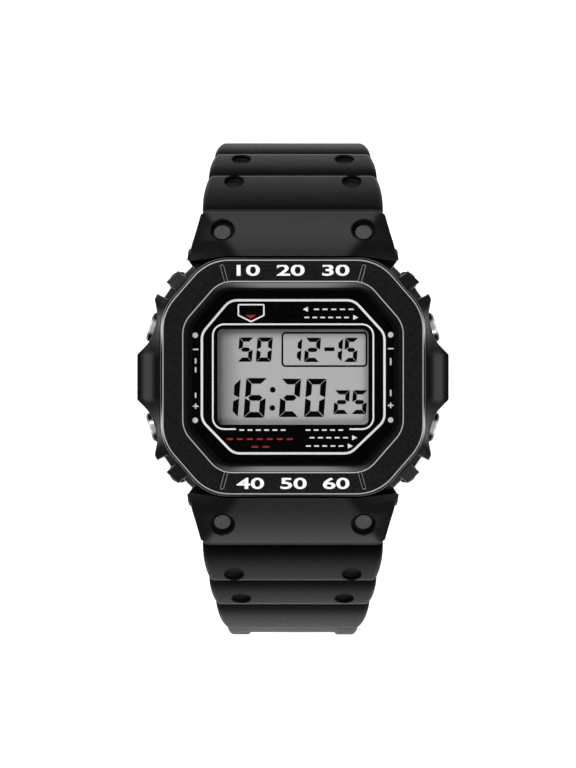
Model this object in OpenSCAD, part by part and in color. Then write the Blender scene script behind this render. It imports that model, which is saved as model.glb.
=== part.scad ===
// Digital sport watch with a resin strap, unbuckled and standing on the long half of its strap.
// +Z points out of the dial, +Y to 12 o'clock and +X to 3 o'clock.
// The origin is the centre of the back plate's outer face. Lengths are in millimetres.

/* [Case middle] */
// Width across the 3 and 9 o'clock sides
case_w = 36.4; // [35.8:0.2:37]
// Length between the 12 and 6 o'clock ends
case_l = 34.6; // [34.2:0.1:35]
// How far the case's corners are cut back
case_cut = 5.4; // [5:0.1:5.8]
// Wall between the module's space and a side
side_wall = 4.6; // [4.4:0.1:4.8]
// Wall between the module's space and an end
end_wall = 4.7; // [4.5:0.1:4.9]
// How far the corners of the module's space are cut back
cavity_cut = 2.3; // [2.1:0.1:2.5]
// Wall of the neck round the glass
neck_wall = 1.1; // [0.9:0.1:1.2]
// Width of the ledge that holds the glass, inside the neck
glass_ledge = 1.9; // [1.6:0.1:2.1]

/* [Glass and bezel] */
// Distance from a side of the case to the glass
glass_in_side = 2.8; // [2.6:0.1:3]
// Distance from an end of the case to the glass
glass_in_end = 3.9; // [3.7:0.1:4.1]
// How far the glass's corners are cut back
glass_cut = 3.8; // [3.5:0.1:4.1]
// Thickness of the glass
glass_t = 1.5; // [1.2:0.1:1.6]
// Width of the glass's side edges under the bezel
view_in_side = 0.9; // [0.7:0.1:1.1]
// Width of the glass's end edges under the bezel
view_in_end = 0.95; // [0.75:0.1:1.15]
// How far the corners of the glass that shows are cut back
view_cut = 3.5; // [3.2:0.1:3.8]
// Width that the sloping inner wall of the ring adds on each side
wall_slope_w = 0.85; // [0.6:0.05:1]
// How far the raised ring stands out past the case's sides
ring_past_side = 0.1; // [0:0.05:0.3]
// How far the raised ring stays back from the case's ends
ring_in_end = 0.85; // [0.7:0.05:1]
// How far the raised ring's corners are cut back
ring_cut = 4.8; // [4.5:0.1:5.1]
// Radius that blends the ring's outer corners
ring_r = 6.5; // [4:0.5:7]
// Height of the bezel's top above the top of the glass
ring_rise = 1.3; // [1:0.1:1.6]
// Chamfer on the ring's top edge
ring_chamfer = 0.3; // [0.2:0.05:0.4]
// How far the bezel's guards stand out past the case's sides
guard_out = 3.8; // [3.5:0.1:4.1]
// How far the bezel stays back from the case's ends
bezel_in_end = 0.5; // [0.4:0.05:0.6]
// Height of the flange's outer edge above the case shoulder
flange_h = 1.1; // [0.8:0.1:1.4]
// Height of the flange where it meets the ring, above its outer edge
flange_rise = 1.9; // [1.4:0.1:2.2]
// Width of each corner notch
notch_w = 1.85; // [1.4:0.05:2]
// Depth of the two name places sunk in the ring
plate_depth = 0.15; // [0.1:0.05:0.3]
// Distance from a name place's end to the ring's side
plate_in = 8.6; // [8.2:0.1:9.2]
// Depth of the slanted grooves beside the name places
groove_depth = 0.4; // [0.3:0.05:0.5]
// Width of the slanted grooves
groove_w = 0.5; // [0.4:0.05:0.7]

/* [Buttons] */
// How far the middle of a button's face stands out past the case's side
button_out = 2.15; // [2:0.05:2.3]
// Turn of a button's axis away from the X axis, in degrees
button_turn = 17; // [15:1:18]
// Diameter of a button's cap
button_d = 4.2; // [3.8:0.1:4.2]
// Thickness of a button's cap
button_t = 1.3; // [1.2:0.1:1.4]
// How far a button is pushed in
button_travel = 0.8; // [0.6:0.1:0.8]
// Diameter of a button's stem
stem_d = 1.9; // [1.7:0.1:2]
// Wire diameter of a button's spring
button_wire = 0.3; // [0.2:0.05:0.3]
// Turns of a button's spring
button_turns = 2.5; // [2:0.5:2.5]

/* [Back] */
// Thickness of the back plate
back_t = 1.2; // [1:0.1:1.4]
// Distance from the back plate to a side of the case
back_in_side = 1.7; // [1.5:0.1:2]
// Distance from the back plate to an end of the case
back_in_end = 1.6; // [1.4:0.1:1.8]
// How far the back plate's corners are cut back
back_cut = 3.35; // [3.25:0.05:3.45]
// Diameter of the back screws
screw_d = 1.2; // [1:0.1:1.2]
// Diameter of the screw heads
screw_head_d = 2.2; // [1.9:0.1:2.3]
// Thickness of the screw heads
screw_head_t = 0.6; // [0.5:0.1:0.7]
// Thickness of the flat gasket between back plate and case
gasket_t = 0.5; // [0.4:0.1:0.6]

/* [Module] */
// Least distance from the battery to the wall of the module's space
battery_in = 2.6; // [2.6:0.1:3]
// Thickness of the battery
battery_t = 2.5; // [2:0.1:2.6]
// Least distance from the buzzer disc to the wall of the module's space
buzzer_in = 0.6; // [0.6:0.1:0.8]
// Thickness of the buzzer disc
buzzer_t = 0.3; // [0.2:0.05:0.4]
// Thickness of the cushion under the module
cushion_t = 0.5; // [0.4:0.05:0.6]
// Thickness of the battery clip
clip_t = 0.3; // [0.2:0.05:0.3]
// Distance from the circuit board to the wall of the module's space
board_in = 1.6; // [1.5:0.1:1.9]
// Thickness of the circuit board
board_t = 0.8; // [0.6:0.1:0.9]
// Gap between the chip's cover and the light panel
chip_gap = 0.85; // [0.7:0.05:1]
// Distance from the display panel to the side walls of the module's space
lcd_in_side = 1.4; // [1.2:0.1:1.6]
// Distance from the display panel to the end walls of the module's space
lcd_in_end = 4.3; // [4.1:0.1:4.5]
// Thickness of the display panel
lcd_t = 1.6; // [1.4:0.1:1.7]
// Width of the display panel's border under the mask
lcd_border = 1.55; // [1.4:0.05:1.8]
// Thickness of the mask
mask_t = 0.7; // [0.5:0.1:0.8]

/* [Strap at the case] */
// Distance of the spring bars from the case's ends
bar_out = 3.1; // [3:0.05:3.2]
// Height of the spring bars
bar_z = 4.1; // [4.05:0.05:4.2]
// Diameter of a spring bar
bar_d = 1.8; // [1.6:0.1:1.8]
// Diameter of a spring bar's tips
tip_d = 1; // [0.8:0.1:1.1]
// Distance from the case's side to a lug's inner face
lug_in = 10.1; // [9.9:0.1:10.2]
// Thickness of a lug
lug_t = 3.5; // [3:0.1:3.6]
// Radius of a lug's round nose
lug_r = 2.6; // [2.4:0.05:2.6]
// How much larger the radius of the strap's round end is than the lug's
root_past_lug = 0.1; // [0:0.05:0.15]
// Height of the hood's edge at the bezel above the case shoulder
hood_rise = 2.5; // [2.4:0.05:2.7]
// Gap between the hood and the bezel's end
hood_gap = 0.25; // [0.25:0.05:0.4]
// Thickness of the hood's edge at the bezel
hood_lip = 2.1; // [1.8:0.1:2.2]
// How far the hood's slope runs on past the spring bar
hood_past_bar = 1.2; // [1:0.1:1.5]
// Width of the hood past each lug, at the bezel
hood_past_lug = 3.1; // [2.9:0.1:3.3]
// How much a side of the hood draws in along its slope
hood_taper = 1.6; // [1.4:0.1:1.8]
// Width of the facet at each side of the hood, at the bezel
facet_w = 4.4; // [3:0.2:5]
// Drop of that facet
facet_drop = 1.4; // [1:0.1:1.6]
// Diameter of the recess round a stud
stud_recess_d = 3.4; // [3:0.1:3.4]
// Depth of the recess round a stud
stud_recess_depth = 1; // [0.8:0.05:1]
// Diameter of a stud
stud_d = 2.3; // [2:0.1:2.5]
// Distance of a stud from the hood's side at the bezel
stud_in = 4.7; // [4.5:0.1:4.9]

/* [Strap] */
// How much narrower a side of the strap is at its first ridge than at the hood
root_in = 0.2; // [0:0.1:0.4]
// How much a side of the strap draws in along its ridges
ridge_taper = 2.1; // [1.9:0.1:2.3]
// How much a side of the short half draws in from its ridges to the buckle
buckle_taper = 0.8; // [0.6:0.1:1]
// How much a side of the long half draws in from its ridges to its tip
tip_taper = 1.5; // [1.3:0.1:1.7]
// Thickness of the strap at its first ridge
root_t = 4.2; // [4:0.1:4.6]
// Thickness of the strap after its last ridge
mid_t = 3.5; // [3.3:0.1:3.7]
// Thickness of the strap at the buckle and along the long half
end_t = 3; // [2.8:0.1:3.1]
// Length of one ridge
ridge_len = 7.2; // [6.8:0.1:7.4]
// Height of the step at the far edge of a ridge
ridge_step = 0.55; // [0.4:0.05:0.7]
// Length of the ledge between the hood and the first ridge
ledge_len = 1.2; // [1:0.1:1.4]
// Depth of that ledge below the hood's edge
ledge_depth = 0.9; // [0.7:0.05:1]
// Diameter of the round recesses in the ridges
dimple_d = 2.75; // [2.2:0.05:3]
// Depth of the round recesses in the ridges
dimple_depth = 0.6; // [0.4:0.05:0.7]
// Distance from the channel along the strap to the long half's sides
channel_in = 2.8; // [2.4:0.1:3.6]
// Depth of the channel along the strap
channel_depth = 0.35; // [0.2:0.05:0.5]
// Radius of the curl of the short half
curl_r_12 = 22; // [21:0.5:23]
// How much larger the radius of the long half's curl is
curl_past = 4; // [3.8:0.1:4.5]
// Length of the long half between its ridges and its curl
side_len = 12; // [11:0.5:13]
// Length of the long half's straight end
run_len = 35; // [32:0.5:36]
// Diameter of the prong holes
hole_d = 2.3; // [2:0.1:2.6]
// Distance between the prong holes
hole_pitch = 5.6; // [5:0.1:6]
// Distance of the last prong hole from the tip
hole_in = 10.9; // [10:0.1:12]
// Number of prong holes
hole_count = 12; // [9:1:12]

/* [Buckle and keeper] */
// Diameter of the buckle pin
pin_d = 1.5; // [1.3:0.1:1.5]
// Thickness of a side arm of the buckle frame
arm_t = 1.8; // [1.5:0.1:2]
// Distance from the pin to the frame's far bar
frame_len = 11.4; // [11:0.1:11.8]
// Diameter of the frame's far bar
frame_bar_d = 2.4; // [2.2:0.1:2.6]
// Width of the prong
prong_w = 2; // [1.6:0.1:2.2]
// Thickness of the prong
prong_t = 1.2; // [1:0.1:1.2]
// Length of the keeper along the strap
keeper_len = 6; // [5:0.2:6.4]
// Wall of the keeper
keeper_t = 1.3; // [1.1:0.1:1.4]
// Height of the space in the keeper beyond the short half, for the long half
keeper_space = 3.2; // [3.1:0.1:3.3]
// Distance of the keeper's middle from the buckle pin
keeper_from_pin = 11.5; // [11.4:0.1:12]
// How far the keeper can slide away from the pin
keeper_room = 0.9; // [0.8:0.1:1.2]

/* [Hidden] */
$fn = 48;
overrun = 0.5;              // how far a cut runs past the face that it opens
run_gap = 0.05;             // clearance of a running fit, on the radius
seat_gap = 0.1;             // clearance between pieces that seat in each other
side_gap = 0.15;            // clearance beside a piece that turns or slides
crisp = 0.15;               // length over which a crisp step falls
edge = 0.6;                 // size of the strap's edge chamfers
corner_angle = 41;          // direction of the corner faces, in degrees from the X axis
small_r = 3;                // blend of the inner outlines' corners
blend_steps = 6;            // facets in one blended corner
hood_slope = 30;            // slope of the hood, in degrees
coil_rings = 8;             // rings in one curl of a spring
coil_sides = 6;             // sides of a spring's wire

// Heights
ceiling_t = 1;              // from the case shoulder to the ceiling of the module's space
chip_t = 0.7;               // thickness of the chip's cover
light_t = 0.35;             // thickness of the light panel
spot_gap = 0.2;             // room round a cap in the bezel and the case
spot_roof = 0.2;            // height of the case shoulder above the room round a cap
spot_sill = 0.5;            // height of the bezel's skirt below that room
glass_gasket_t = 0.3;       // thickness of the gasket under the glass
board_gap = 0.3;            // gap between the battery and the circuit board
cushion_z = back_t + buzzer_t;
module_z = cushion_z + cushion_t;
battery_z = module_z + clip_t + seat_gap;
board_z = battery_z + battery_t + board_gap;
board_top = board_z + board_t;
lcd_z = board_top + chip_t + chip_gap + light_t;
lcd_top = lcd_z + lcd_t;
shoulder_z = lcd_top + seat_gap - ceiling_t;
mask_z = shoulder_z + ceiling_t;
glass_seat_z = mask_z + mask_t + seat_gap;
glass_z = glass_seat_z + glass_gasket_t;
glass_top = glass_z + glass_t;
bezel_top = glass_top + ring_rise;
flange_z = shoulder_z + flange_h;
spot_r = button_d / 2 + spot_gap;
button_z = shoulder_z - spot_roof - spot_r;
skirt_z = button_z - spot_r - spot_sill;

// Outlines
function unit(v) = v / norm(v);
function octagon(half_w, half_l, corner) =
    let (a = [half_w, (corner - half_w * cos(corner_angle)) / sin(corner_angle)],
         b = [(corner - half_l * sin(corner_angle)) / cos(corner_angle), half_l])
    [a, b, [-b.x, b.y], [-a.x, a.y], -a, -b, [b.x, -b.y], [a.x, -a.y]];
function blend(before, p, after, r) =
    let (u = unit(before - p), v = unit(after - p), half = acos(u * v) / 2,
         centre = p + unit(u + v) * r / sin(half),
         from = p + u * r / tan(half) - centre, to = p + v * r / tan(half) - centre,
         a = atan2(from.y, from.x), raw = atan2(to.y, to.x) - a,
         turn = raw > 180 ? raw - 360 : raw < -180 ? raw + 360 : raw)
    [for (i = [0:blend_steps]) let (b = a + turn * i / blend_steps) centre + r * [cos(b), sin(b)]];
function blended(points, r) =
    let (n = len(points))
    [for (i = [0:n - 1]) each blend(points[(i + n - 1) % n], points[i], points[(i + 1) % n], r)];
// Distance from the centre to the corner faces of a box whose corners are cut back that far
function corner_at(half, cut_back) = half.x * cos(corner_angle) + half.y * sin(corner_angle) - cut_back;
function oct_outline(half, corner, r, grow) =
    blended(octagon(half.x + grow, half.y + grow, corner + grow), r);
function box_outline(half_w, half_l, r) =
    blended([[half_w, -half_l], [half_w, half_l], [-half_w, half_l], [-half_w, -half_l]], r);
function lifted(points, z) = [for (p = points) [p.x, p.y, z]];
function corners4(x, y) = [for (i = [-1, 1], j = [-1, 1]) [i * x, j * y]];

// A closed skin through rings of equally many points, each ring counter-clockwise seen from ahead
module skin(rings) {
    n = len(rings[0]);
    m = len(rings);
    sides = [for (k = [0:m - 2], i = [0:n - 1])
        let (a = k * n + i, b = k * n + (i + 1) % n)
        each [[a, a + n, b + n], [a, b + n, b]]];
    near = [for (i = [0:n - 1]) i];
    far = [for (i = [n - 1:-1:0]) (m - 1) * n + i];
    polyhedron([for (ring = rings) each ring], concat(sides, [near, far]), convexity = 6);
}

module slab(points, z0, z1) {
    translate([0, 0, z0]) linear_extrude(z1 - z0) polygon(points);
}

module bore(r, z0, z1) {
    translate([0, 0, z0]) cylinder(r = r, h = z1 - z0);
}

module rod_x(r, x0, x1, y, z) {
    translate([x0, y, z]) rotate([0, 90, 0]) cylinder(r = r, h = x1 - x0);
}

// A spring that winds round Z: one unbroken wire, its ends cut square
module coil(mean_r, wire, z0, z1, turns) {
    steps = ceil(turns * coil_rings);
    line = coil_line(mean_r, z0 + wire / 2, z1 - wire / 2, turns);
    slope = atan2(z1 - z0 - wire, turns * 2 * PI * mean_r);
    skin([for (k = [0:steps])
        let (a = 360 * turns * k / steps)
        [for (i = [0:coil_sides - 1])
            let (b = 360 * i / coil_sides, u = wire / 2 * cos(b), w = wire / 2 * sin(b), v = w * sin(slope))
            line[k] + [u * cos(a) + v * sin(a), u * sin(a) - v * cos(a), w * cos(slope)]]]);
}
function coil_line(mean_r, z0, z1, turns) =
    let (steps = ceil(turns * coil_rings))
    [for (k = [0:steps])
        let (a = 360 * turns * k / steps)
        [mean_r * cos(a), mean_r * sin(a), z0 + (z1 - z0) * k / steps]];
// Least gap between one turn's wire and the next, measured between the points of the centre line
function coil_gap(line, wire) =
    let (last = len(line) - 1, apart = coil_rings / 2)
    min([for (i = [0:last - apart], j = [i + apart:last]) norm(line[i] - line[j])]) - wire;

// Case middle
case_half = [case_w, case_l] / 2;
cavity_half = case_half - [side_wall, end_wall];
cavity_least = min(cavity_half.x, cavity_half.y);
glass_half = case_half - [glass_in_side, glass_in_end];
case_corner = corner_at(case_half, case_cut);
cavity_corner = corner_at(cavity_half, cavity_cut);
glass_corner = corner_at(glass_half, glass_cut);
neck_margin = seat_gap + neck_wall;

function case_outline(grow) = oct_outline(case_half, case_corner, small_r, grow);
function cavity_outline(grow) = oct_outline(cavity_half, cavity_corner, small_r, grow);
function glass_outline(grow) = oct_outline(glass_half, glass_corner, small_r, grow);

gasket_in = 0.35;           // wall between the module's space and the gasket
gasket_w = 0.6;             // width of the gasket
ear_r = 1.55;               // radius of the ears that the bezel screws pass through
ear_t = 1.2;                // thickness of those ears
ear_in = [2.04, 3.74];      // distances of the bezel screws from the case's sides and ends
ear_gap = 0.05;             // gap between an ear and the bezel's skirt
back_thread = 4;            // depth of the back screws in the case
back_screw_in = [0.3, 0.4]; // distances of the back screws in from the walls of the module's space
back_screw = cavity_half - back_screw_in;
bezel_half = case_half + [guard_out, -bezel_in_end];
button_y_share = 0.4315;    // place of the buttons between the centre and the bezel's ends
button_x = case_half.x + button_out;
button_y = bezel_half.y * button_y_share;

// Button sizes along a button's own axis, with 0 at the cap's outer face and minus inwards
push_room = 0.3;            // room left under a cap that is pushed in
tube_len = 2.8;             // length of a button tube
spring_pocket = 1.2;        // depth of the spring's pocket in a tube
spot_u = -(button_t + button_travel + push_room);
tube_in_u = spot_u - tube_len;
seat_u = spot_u - spring_pocket;

module at_button(sx, sy) {
    translate([sx * button_x, sy * button_y, button_z])
        rotate([0, 0, sx > 0 ? sy * button_turn : 180 - sy * button_turn])
            rotate([0, 90, 0]) children();
}

module case_center() {
    color("#1b1c1e") difference() {
        union() {
            slab(case_outline(0), back_t, shoulder_z);
            slab(glass_outline(neck_margin), shoulder_z - overrun, glass_top - run_gap);
            for (sx = [-1, 1], sy = [-1, 1]) lug(sx, sy);
            for (sx = [-1, 1], sy = [-1, 1]) ear(sx, sy);
        }
        slab(cavity_outline(0), back_t - overrun, shoulder_z + ceiling_t);
        slab(glass_outline(seat_gap - glass_ledge), shoulder_z, glass_top + overrun);
        slab(glass_outline(seat_gap), glass_seat_z, glass_top + overrun);
        difference() {
            slab(cavity_outline(gasket_in + gasket_w), back_t - overrun, back_t + gasket_t);
            slab(cavity_outline(gasket_in), back_t - overrun * 2, back_t + gasket_t + overrun);
        }
        for (p = corners4(back_screw.x, back_screw.y))
            translate(p) bore(screw_d / 2 + run_gap / 2, back_t - overrun, back_t + back_thread + seat_gap);
        for (sx = [-1, 1], sy = [-1, 1]) {
            at_button(sx, sy) bore(spot_r, spot_u, overrun);
            at_button(sx, sy) bore(tube_r, tube_in_u, overrun);
            at_button(sx, sy) bore(clip_pocket_r, tube_in_u - clip_pocket_len, tube_in_u + overrun);
            translate([ear_at.x * sx, ear_at.y * sy, 0]) bore(screw_d / 2 + run_gap, 0, skirt_z);
        }
    }
}
ear_at = case_half - ear_in;
tube_in = 0.1;              // how much smaller a button tube's radius is than its cap's
tube_r = button_d / 2 - tube_in;
clip_rim = 0.35;            // how far a clip stands out past its stem
clip_room = 0.4;            // room round a button's clip
clip_pocket_r = stem_d / 2 + clip_rim + clip_room;
clip_pocket_len = 2.6;      // length of that space, into the module's space

module lug(sx, sy) {
    x0 = sx > 0 ? lug_x : -lug_x - lug_t;
    difference() {
        union() {
            rod_x(lug_r, x0, x0 + lug_t, sy * bar_y, bar_z);
            translate([x0, sy > 0 ? case_half.y - overrun : -bar_y, bar_z - lug_r])
                cube([lug_t, bar_y - case_half.y + overrun, lug_r * 2]);
        }
        rod_x(tip_d / 2 + run_gap, sx * lug_x - tip_depth, sx * lug_x + tip_depth, sy * bar_y, bar_z);
    }
}
tip_depth = 1.4;            // depth of a spring bar's tip in its lug
tip_len = 1.2;              // length of a spring bar's tip in its lug

module ear(sx, sy) {
    reach = norm(ear_at) - case_corner + ear_r * 2;
    neck = ear_r - side_gap;
    top = skirt_z - ear_gap;
    translate([ear_at.x * sx, ear_at.y * sy, 0]) bore(ear_r, top - ear_t, top);
    rotate([0, 0, atan2(ear_at.y * sy, ear_at.x * sx)]) translate([norm(ear_at) - reach, -neck, top - ear_t])
        cube([reach, neck * 2, ear_t]);
}

// Bezel
side_shares = [
    [1, 0.19], [0.959, 0.244], [0.932, 0.283], [0.905, 0.345], [0.884, 0.426], [0.874, 0.491],
    [0.874, 0.557], [0.892, 0.658], [0.868, 0.714], [0.816, 0.807], [0.782, 0.857], [0.741, 0.902],
    [0.675, 1]
];
side_last = len(side_shares) - 1;
function side_quarter(sx, sy, back) =
    [for (i = [0:side_last]) let (q = side_shares[back ? side_last - i : i])
        [sx * q.x * bezel_half.x, sy * q.y * bezel_half.y]];
function side_outline() = concat(side_quarter(1, 1, false), side_quarter(-1, 1, true),
    side_quarter(-1, -1, false), side_quarter(1, -1, true));
// How far an octagon reaches in the direction of p, with softly bowed sides
function oct_reach(p, half, corner) =
    let (x = abs(p.x) / norm(p), y = abs(p.y) / norm(p),
         parts = [x / half.x, y / half.y, (x * cos(corner_angle) + y * sin(corner_angle)) / corner])
    pow(pow(parts[0], bow_power) + pow(parts[1], bow_power) + pow(parts[2], bow_power), -1 / bow_power);
bow_power = 24;
ring_half = case_half + [ring_past_side, -ring_in_end];
view_half = glass_half - [view_in_side, view_in_end];
ring_corner = corner_at(ring_half, ring_cut);
view_corner = corner_at(view_half, view_cut);
function ring_outline(grow) = oct_outline(ring_half, ring_corner, ring_r, grow);
function view_outline(grow) = oct_outline(view_half, view_corner, small_r + grow, grow);
ring_draft = 0.35;          // how much wider the ring is at its foot
bezel_screw_len = 3.4;      // length of the bezel screws in the bezel
bezel_screw_top = skirt_z + bezel_screw_len;
notch_shares = [[0.812, 0.7227], [0.6894, 0.9155]]; // places of the notches' floors in the bezel's quarter
notch_turns = [0, 5];       // turn of each notch's floor past its direction, in degrees

module bezel() {
    color("#202123") difference() {
        union() {
            skin([lifted(side_outline(), skirt_z), lifted(side_outline(), flange_z),
                [for (p = side_outline())
                    let (q = unit(p) * oct_reach(p, ring_half, ring_corner))
                    [q.x, q.y, flange_z + flange_rise]]]);
            skin([lifted(ring_outline(ring_draft), flange_z - overrun),
                lifted(ring_outline(0), bezel_top - ring_chamfer),
                lifted(ring_outline(-ring_chamfer), bezel_top)]);
            for (sx = [-1, 1], sy = [-1, 1]) corner_foot(sx, sy);
        }
        slab(case_outline(seat_gap), skirt_z - overrun, shoulder_z);
        slab(glass_outline(neck_margin + seat_gap), shoulder_z - overrun, glass_top + run_gap);
        skin([lifted(view_outline(0), glass_top - overrun), lifted(view_outline(0), glass_top + run_gap),
            lifted(view_outline(wall_slope_w), bezel_top - ring_chamfer),
            lifted(view_outline(wall_slope_w + ring_chamfer), bezel_top),
            lifted(view_outline(wall_slope_w + ring_chamfer), bezel_top + overrun)]);
        for (sx = [-1, 1], sy = [-1, 1]) {
            at_button(sx, sy) bore(spot_r, spot_u - overrun, overrun * 2);
            for (i = [0, 1]) notch(sx, sy, i);
            translate([ear_at.x * sx, ear_at.y * sy, 0])
                bore(screw_d / 2 + run_gap / 2, skirt_z - overrun, bezel_screw_top + seat_gap);
        }
        for (turn = [0, 180]) rotate([0, 0, turn]) name_place();
    }
}

// Beside each lug the bezel's foot reaches as far as the case's end
module corner_foot(sx, sy) {
    near = lug_x + lug_t + side_gap;
    root = case_half.y - bezel_in_end * 3;
    scale([sx, sy, 1])
        slab([[near, root], [hood_half, root], [hood_half - bezel_in_end, case_half.y], [near, case_half.y]],
            skirt_z + side_gap, shoulder_z);
}

module notch(sx, sy, i) {
    at = [notch_shares[i].x * bezel_half.x, notch_shares[i].y * bezel_half.y];
    scale([sx, sy, 1]) translate([at.x, at.y, skirt_z - overrun])
        rotate([0, 0, atan2(at.y, at.x) + notch_turns[i]]) translate([0, -notch_w / 2, 0])
            cube([notch_w * 2, notch_w, bezel_top - skirt_z]);
}

plate_taper = 0.8;          // how much narrower a name place is at the glass
plate_lip = 0.45;           // width of the ring's edge beyond a name place
plate_half_w = ring_half.x - plate_in;

module name_place() {
    near = view_half.y + wall_slope_w;
    far = ring_half.y - ring_chamfer - plate_lip;
    floor_z = bezel_top - plate_depth;
    slab([[-plate_half_w, far], [-plate_half_w + plate_taper, near - overrun],
        [plate_half_w - plate_taper, near - overrun], [plate_half_w, far]], floor_z, bezel_top + overrun);
    for (s = [-1, 1])
        slab([[s * plate_half_w, far], [s * (plate_half_w + groove_w), far],
            [s * (plate_half_w + groove_w - plate_taper), near - overrun],
            [s * (plate_half_w - plate_taper), near - overrun]],
            bezel_top - groove_depth, bezel_top + overrun);
}

module bezel_screws() {
    top = skirt_z - ear_gap - ear_t;
    color("#8d9094") for (p = corners4(ear_at.x, ear_at.y))
        translate(p) difference() {
            union() {
                bore(screw_d / 2, top - run_gap, bezel_screw_top);
                bore(ear_r - seat_gap * 4, top - screw_head_t, top);
            }
            driver_slot(ear_r, top - screw_head_t);
        }
}

// Slot across the underside of a screw's head
module driver_slot(r, z) {
    translate([-r, -slot_w / 2, z - overrun]) cube([r * 2, slot_w, overrun + slot_depth]);
}
slot_w = 0.3;               // width of a screw's slot
slot_depth = 0.25;          // depth of a screw's slot

// Glass, mask and display
module glass() {
    color("#30343a", 0.5) slab(glass_outline(0), glass_z, glass_top);
}

module glass_gasket() {
    color("#101010") difference() {
        slab(glass_outline(0), glass_seat_z, glass_z);
        slab(glass_outline(-gasket_rim), glass_seat_z - overrun, glass_z + overrun);
    }
}
gasket_rim = 1.2;           // width of the gasket under the glass

module display_mask() {
    color("#0a0a0a") difference() {
        slab(glass_outline(-glass_ledge), mask_z, mask_z + mask_t);
        slab(box_outline(lcd_half.x - lcd_border, lcd_half.y - lcd_border, window_r),
            mask_z - overrun, mask_z + mask_t + overrun);
    }
}
window_r = 0.7;             // corner radius of the window

module lcd_panel() {
    color("#9aa09a") translate([-lcd_half.x, -lcd_half.y, lcd_z])
        cube([lcd_half.x * 2, lcd_half.y * 2, lcd_t]);
}
lcd_half = cavity_half - [lcd_in_side, lcd_in_end];
board_half = cavity_half - [board_in, board_in];

contact_foot = 1.2;         // length of a switch contact's foot on the board
zebra_half = board_half.x - contact_foot - side_gap * 2;
zebra_t = 0.9;              // thickness of a contact rubber
zebra_y = lcd_half.y - zebra_t / 2 - seat_gap;

module zebra_strips() {
    color("#3a3a3c") for (s = [-1, 1])
        translate([-zebra_half, s * zebra_y - zebra_t / 2, board_top])
            cube([zebra_half * 2, zebra_t, lcd_z - board_top]);
}

light_half = [zebra_half, zebra_y - zebra_t / 2 - seat_gap * 2];

module backlight_panel() {
    color("#d8dccb") translate([-light_half.x, -light_half.y, lcd_z - light_t])
        cube([light_half.x * 2, light_half.y * 2, light_t]);
}

// Module
frame_half = cavity_half - [seat_gap, seat_gap];
chip_w = 6;                 // side of the chip's cover
crystal_r = 0.55;           // radius of the quartz crystal's can
crystal_len = 5;            // length of that can
crystal_in = 3.6;           // distance of the can from the board's side
crystal_x = board_half.x - crystal_in;
battery_r = cavity_least - battery_in;
coil_r = 0.45;              // mean radius of the buzzer's spring
coil_wire = 0.22;           // wire of the buzzer's spring
coil_turns = 4.5;           // turns of the buzzer's spring
coil_place = battery_r + coil_r + coil_wire / 2 + seat_gap * 5;
coil_angle = -43;           // direction of the buzzer's spring from the centre, in degrees
contact_t = 0.15;           // thickness of a switch contact
contact_h = 1.2;            // height of a switch contact
contact_w = 2.4;            // width of a switch contact
contact_u = 7.2;            // distance of the contacts from the button faces, along the buttons' axes
contact_y = button_y - contact_u * sin(button_turn);

module coil_axis() {
    rotate([0, 0, coil_angle]) translate([coil_place, 0, 0]) children();
}

module module_frame() {
    color("#e5e3da") difference() {
        slab(cavity_outline(-seat_gap), module_z, lcd_top);
        translate([0, 0, module_z - overrun])
            cylinder(r = battery_r + seat_gap, h = board_z - module_z + overrun * 2);
        slab(box_outline(board_half.x + seat_gap, board_half.y + seat_gap, board_r), board_z, board_top);
        seat([0, 0], lcd_half, lcd_z, lcd_top + overrun);
        seat([0, 0], light_half, lcd_z - light_t, lcd_z + overrun);
        for (s = [-1, 1])
            seat([0, s * zebra_y], [zebra_half, zebra_t / 2], board_top - overrun, lcd_z + overrun);
        seat([0, 0], [chip_w, chip_w] / 2, board_top - overrun, board_top + chip_t + seat_gap);
        seat([crystal_x, 0], [crystal_r, crystal_len / 2], board_top - overrun,
            board_top + crystal_r * 2 + seat_gap);
        coil_axis() bore(coil_r + coil_wire / 2 + seat_gap, module_z - overrun, board_z + overrun);
        for (s = [-1, 1]) clip_slot(s);
        for (sx = [-1, 1], sy = [-1, 1]) contact_window(sx, sy);
    }
}
board_r = 2.4;              // corner radius of the circuit board

// The space for a block of that half size about a place, with a clearance round it
module seat(at, half, z0, z1) {
    room = half + [seat_gap, seat_gap];
    translate([at.x - room.x, at.y - room.y, z0]) cube([room.x * 2, room.y * 2, z1 - z0]);
}

module contact_window(sx, sy) {
    x = board_half.x - contact_foot - seat_gap;
    far = frame_half.x + overrun;
    translate([sx > 0 ? x : -far, sy * contact_y - contact_w / 2 - seat_gap, board_top - overrun])
        cube([far - x, contact_w + seat_gap * 2, contact_h + seat_gap * 2 + overrun]);
}

module switch_contacts() {
    color("#c8a24a") for (sx = [-1, 1], sy = [-1, 1])
        translate([0, sy * contact_y - contact_w / 2, board_top]) {
            x = board_half.x;
            translate([sx > 0 ? x - contact_foot : -x, 0, 0]) cube([contact_foot, contact_w, contact_t]);
            translate([sx > 0 ? x - contact_t : -x, 0, 0]) cube([contact_t, contact_w, contact_h]);
        }
}

module circuit_board() {
    color("#1f6b3a") difference() {
        slab(box_outline(board_half.x, board_half.y, board_r), board_z, board_top);
        for (s = [-1, 1]) translate([s * clip_screw_x, 0, 0])
            bore(clip_screw_r, board_z - overrun, board_top + overrun);
    }
}
clip_screw_in = 0.8;        // distance of the two small holes from the board's sides
clip_screw_x = board_half.x - clip_screw_in;
clip_screw_r = 0.4;         // radius of those holes

module chip() {
    color("#141414") translate([-chip_w / 2, -chip_w / 2, board_top]) cube([chip_w, chip_w, chip_t]);
}

module quartz_crystal() {
    color("#b9bcc0") translate([crystal_x, crystal_len / 2, board_top + crystal_r])
        rotate([90, 0, 0]) cylinder(r = crystal_r, h = crystal_len);
}

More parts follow.
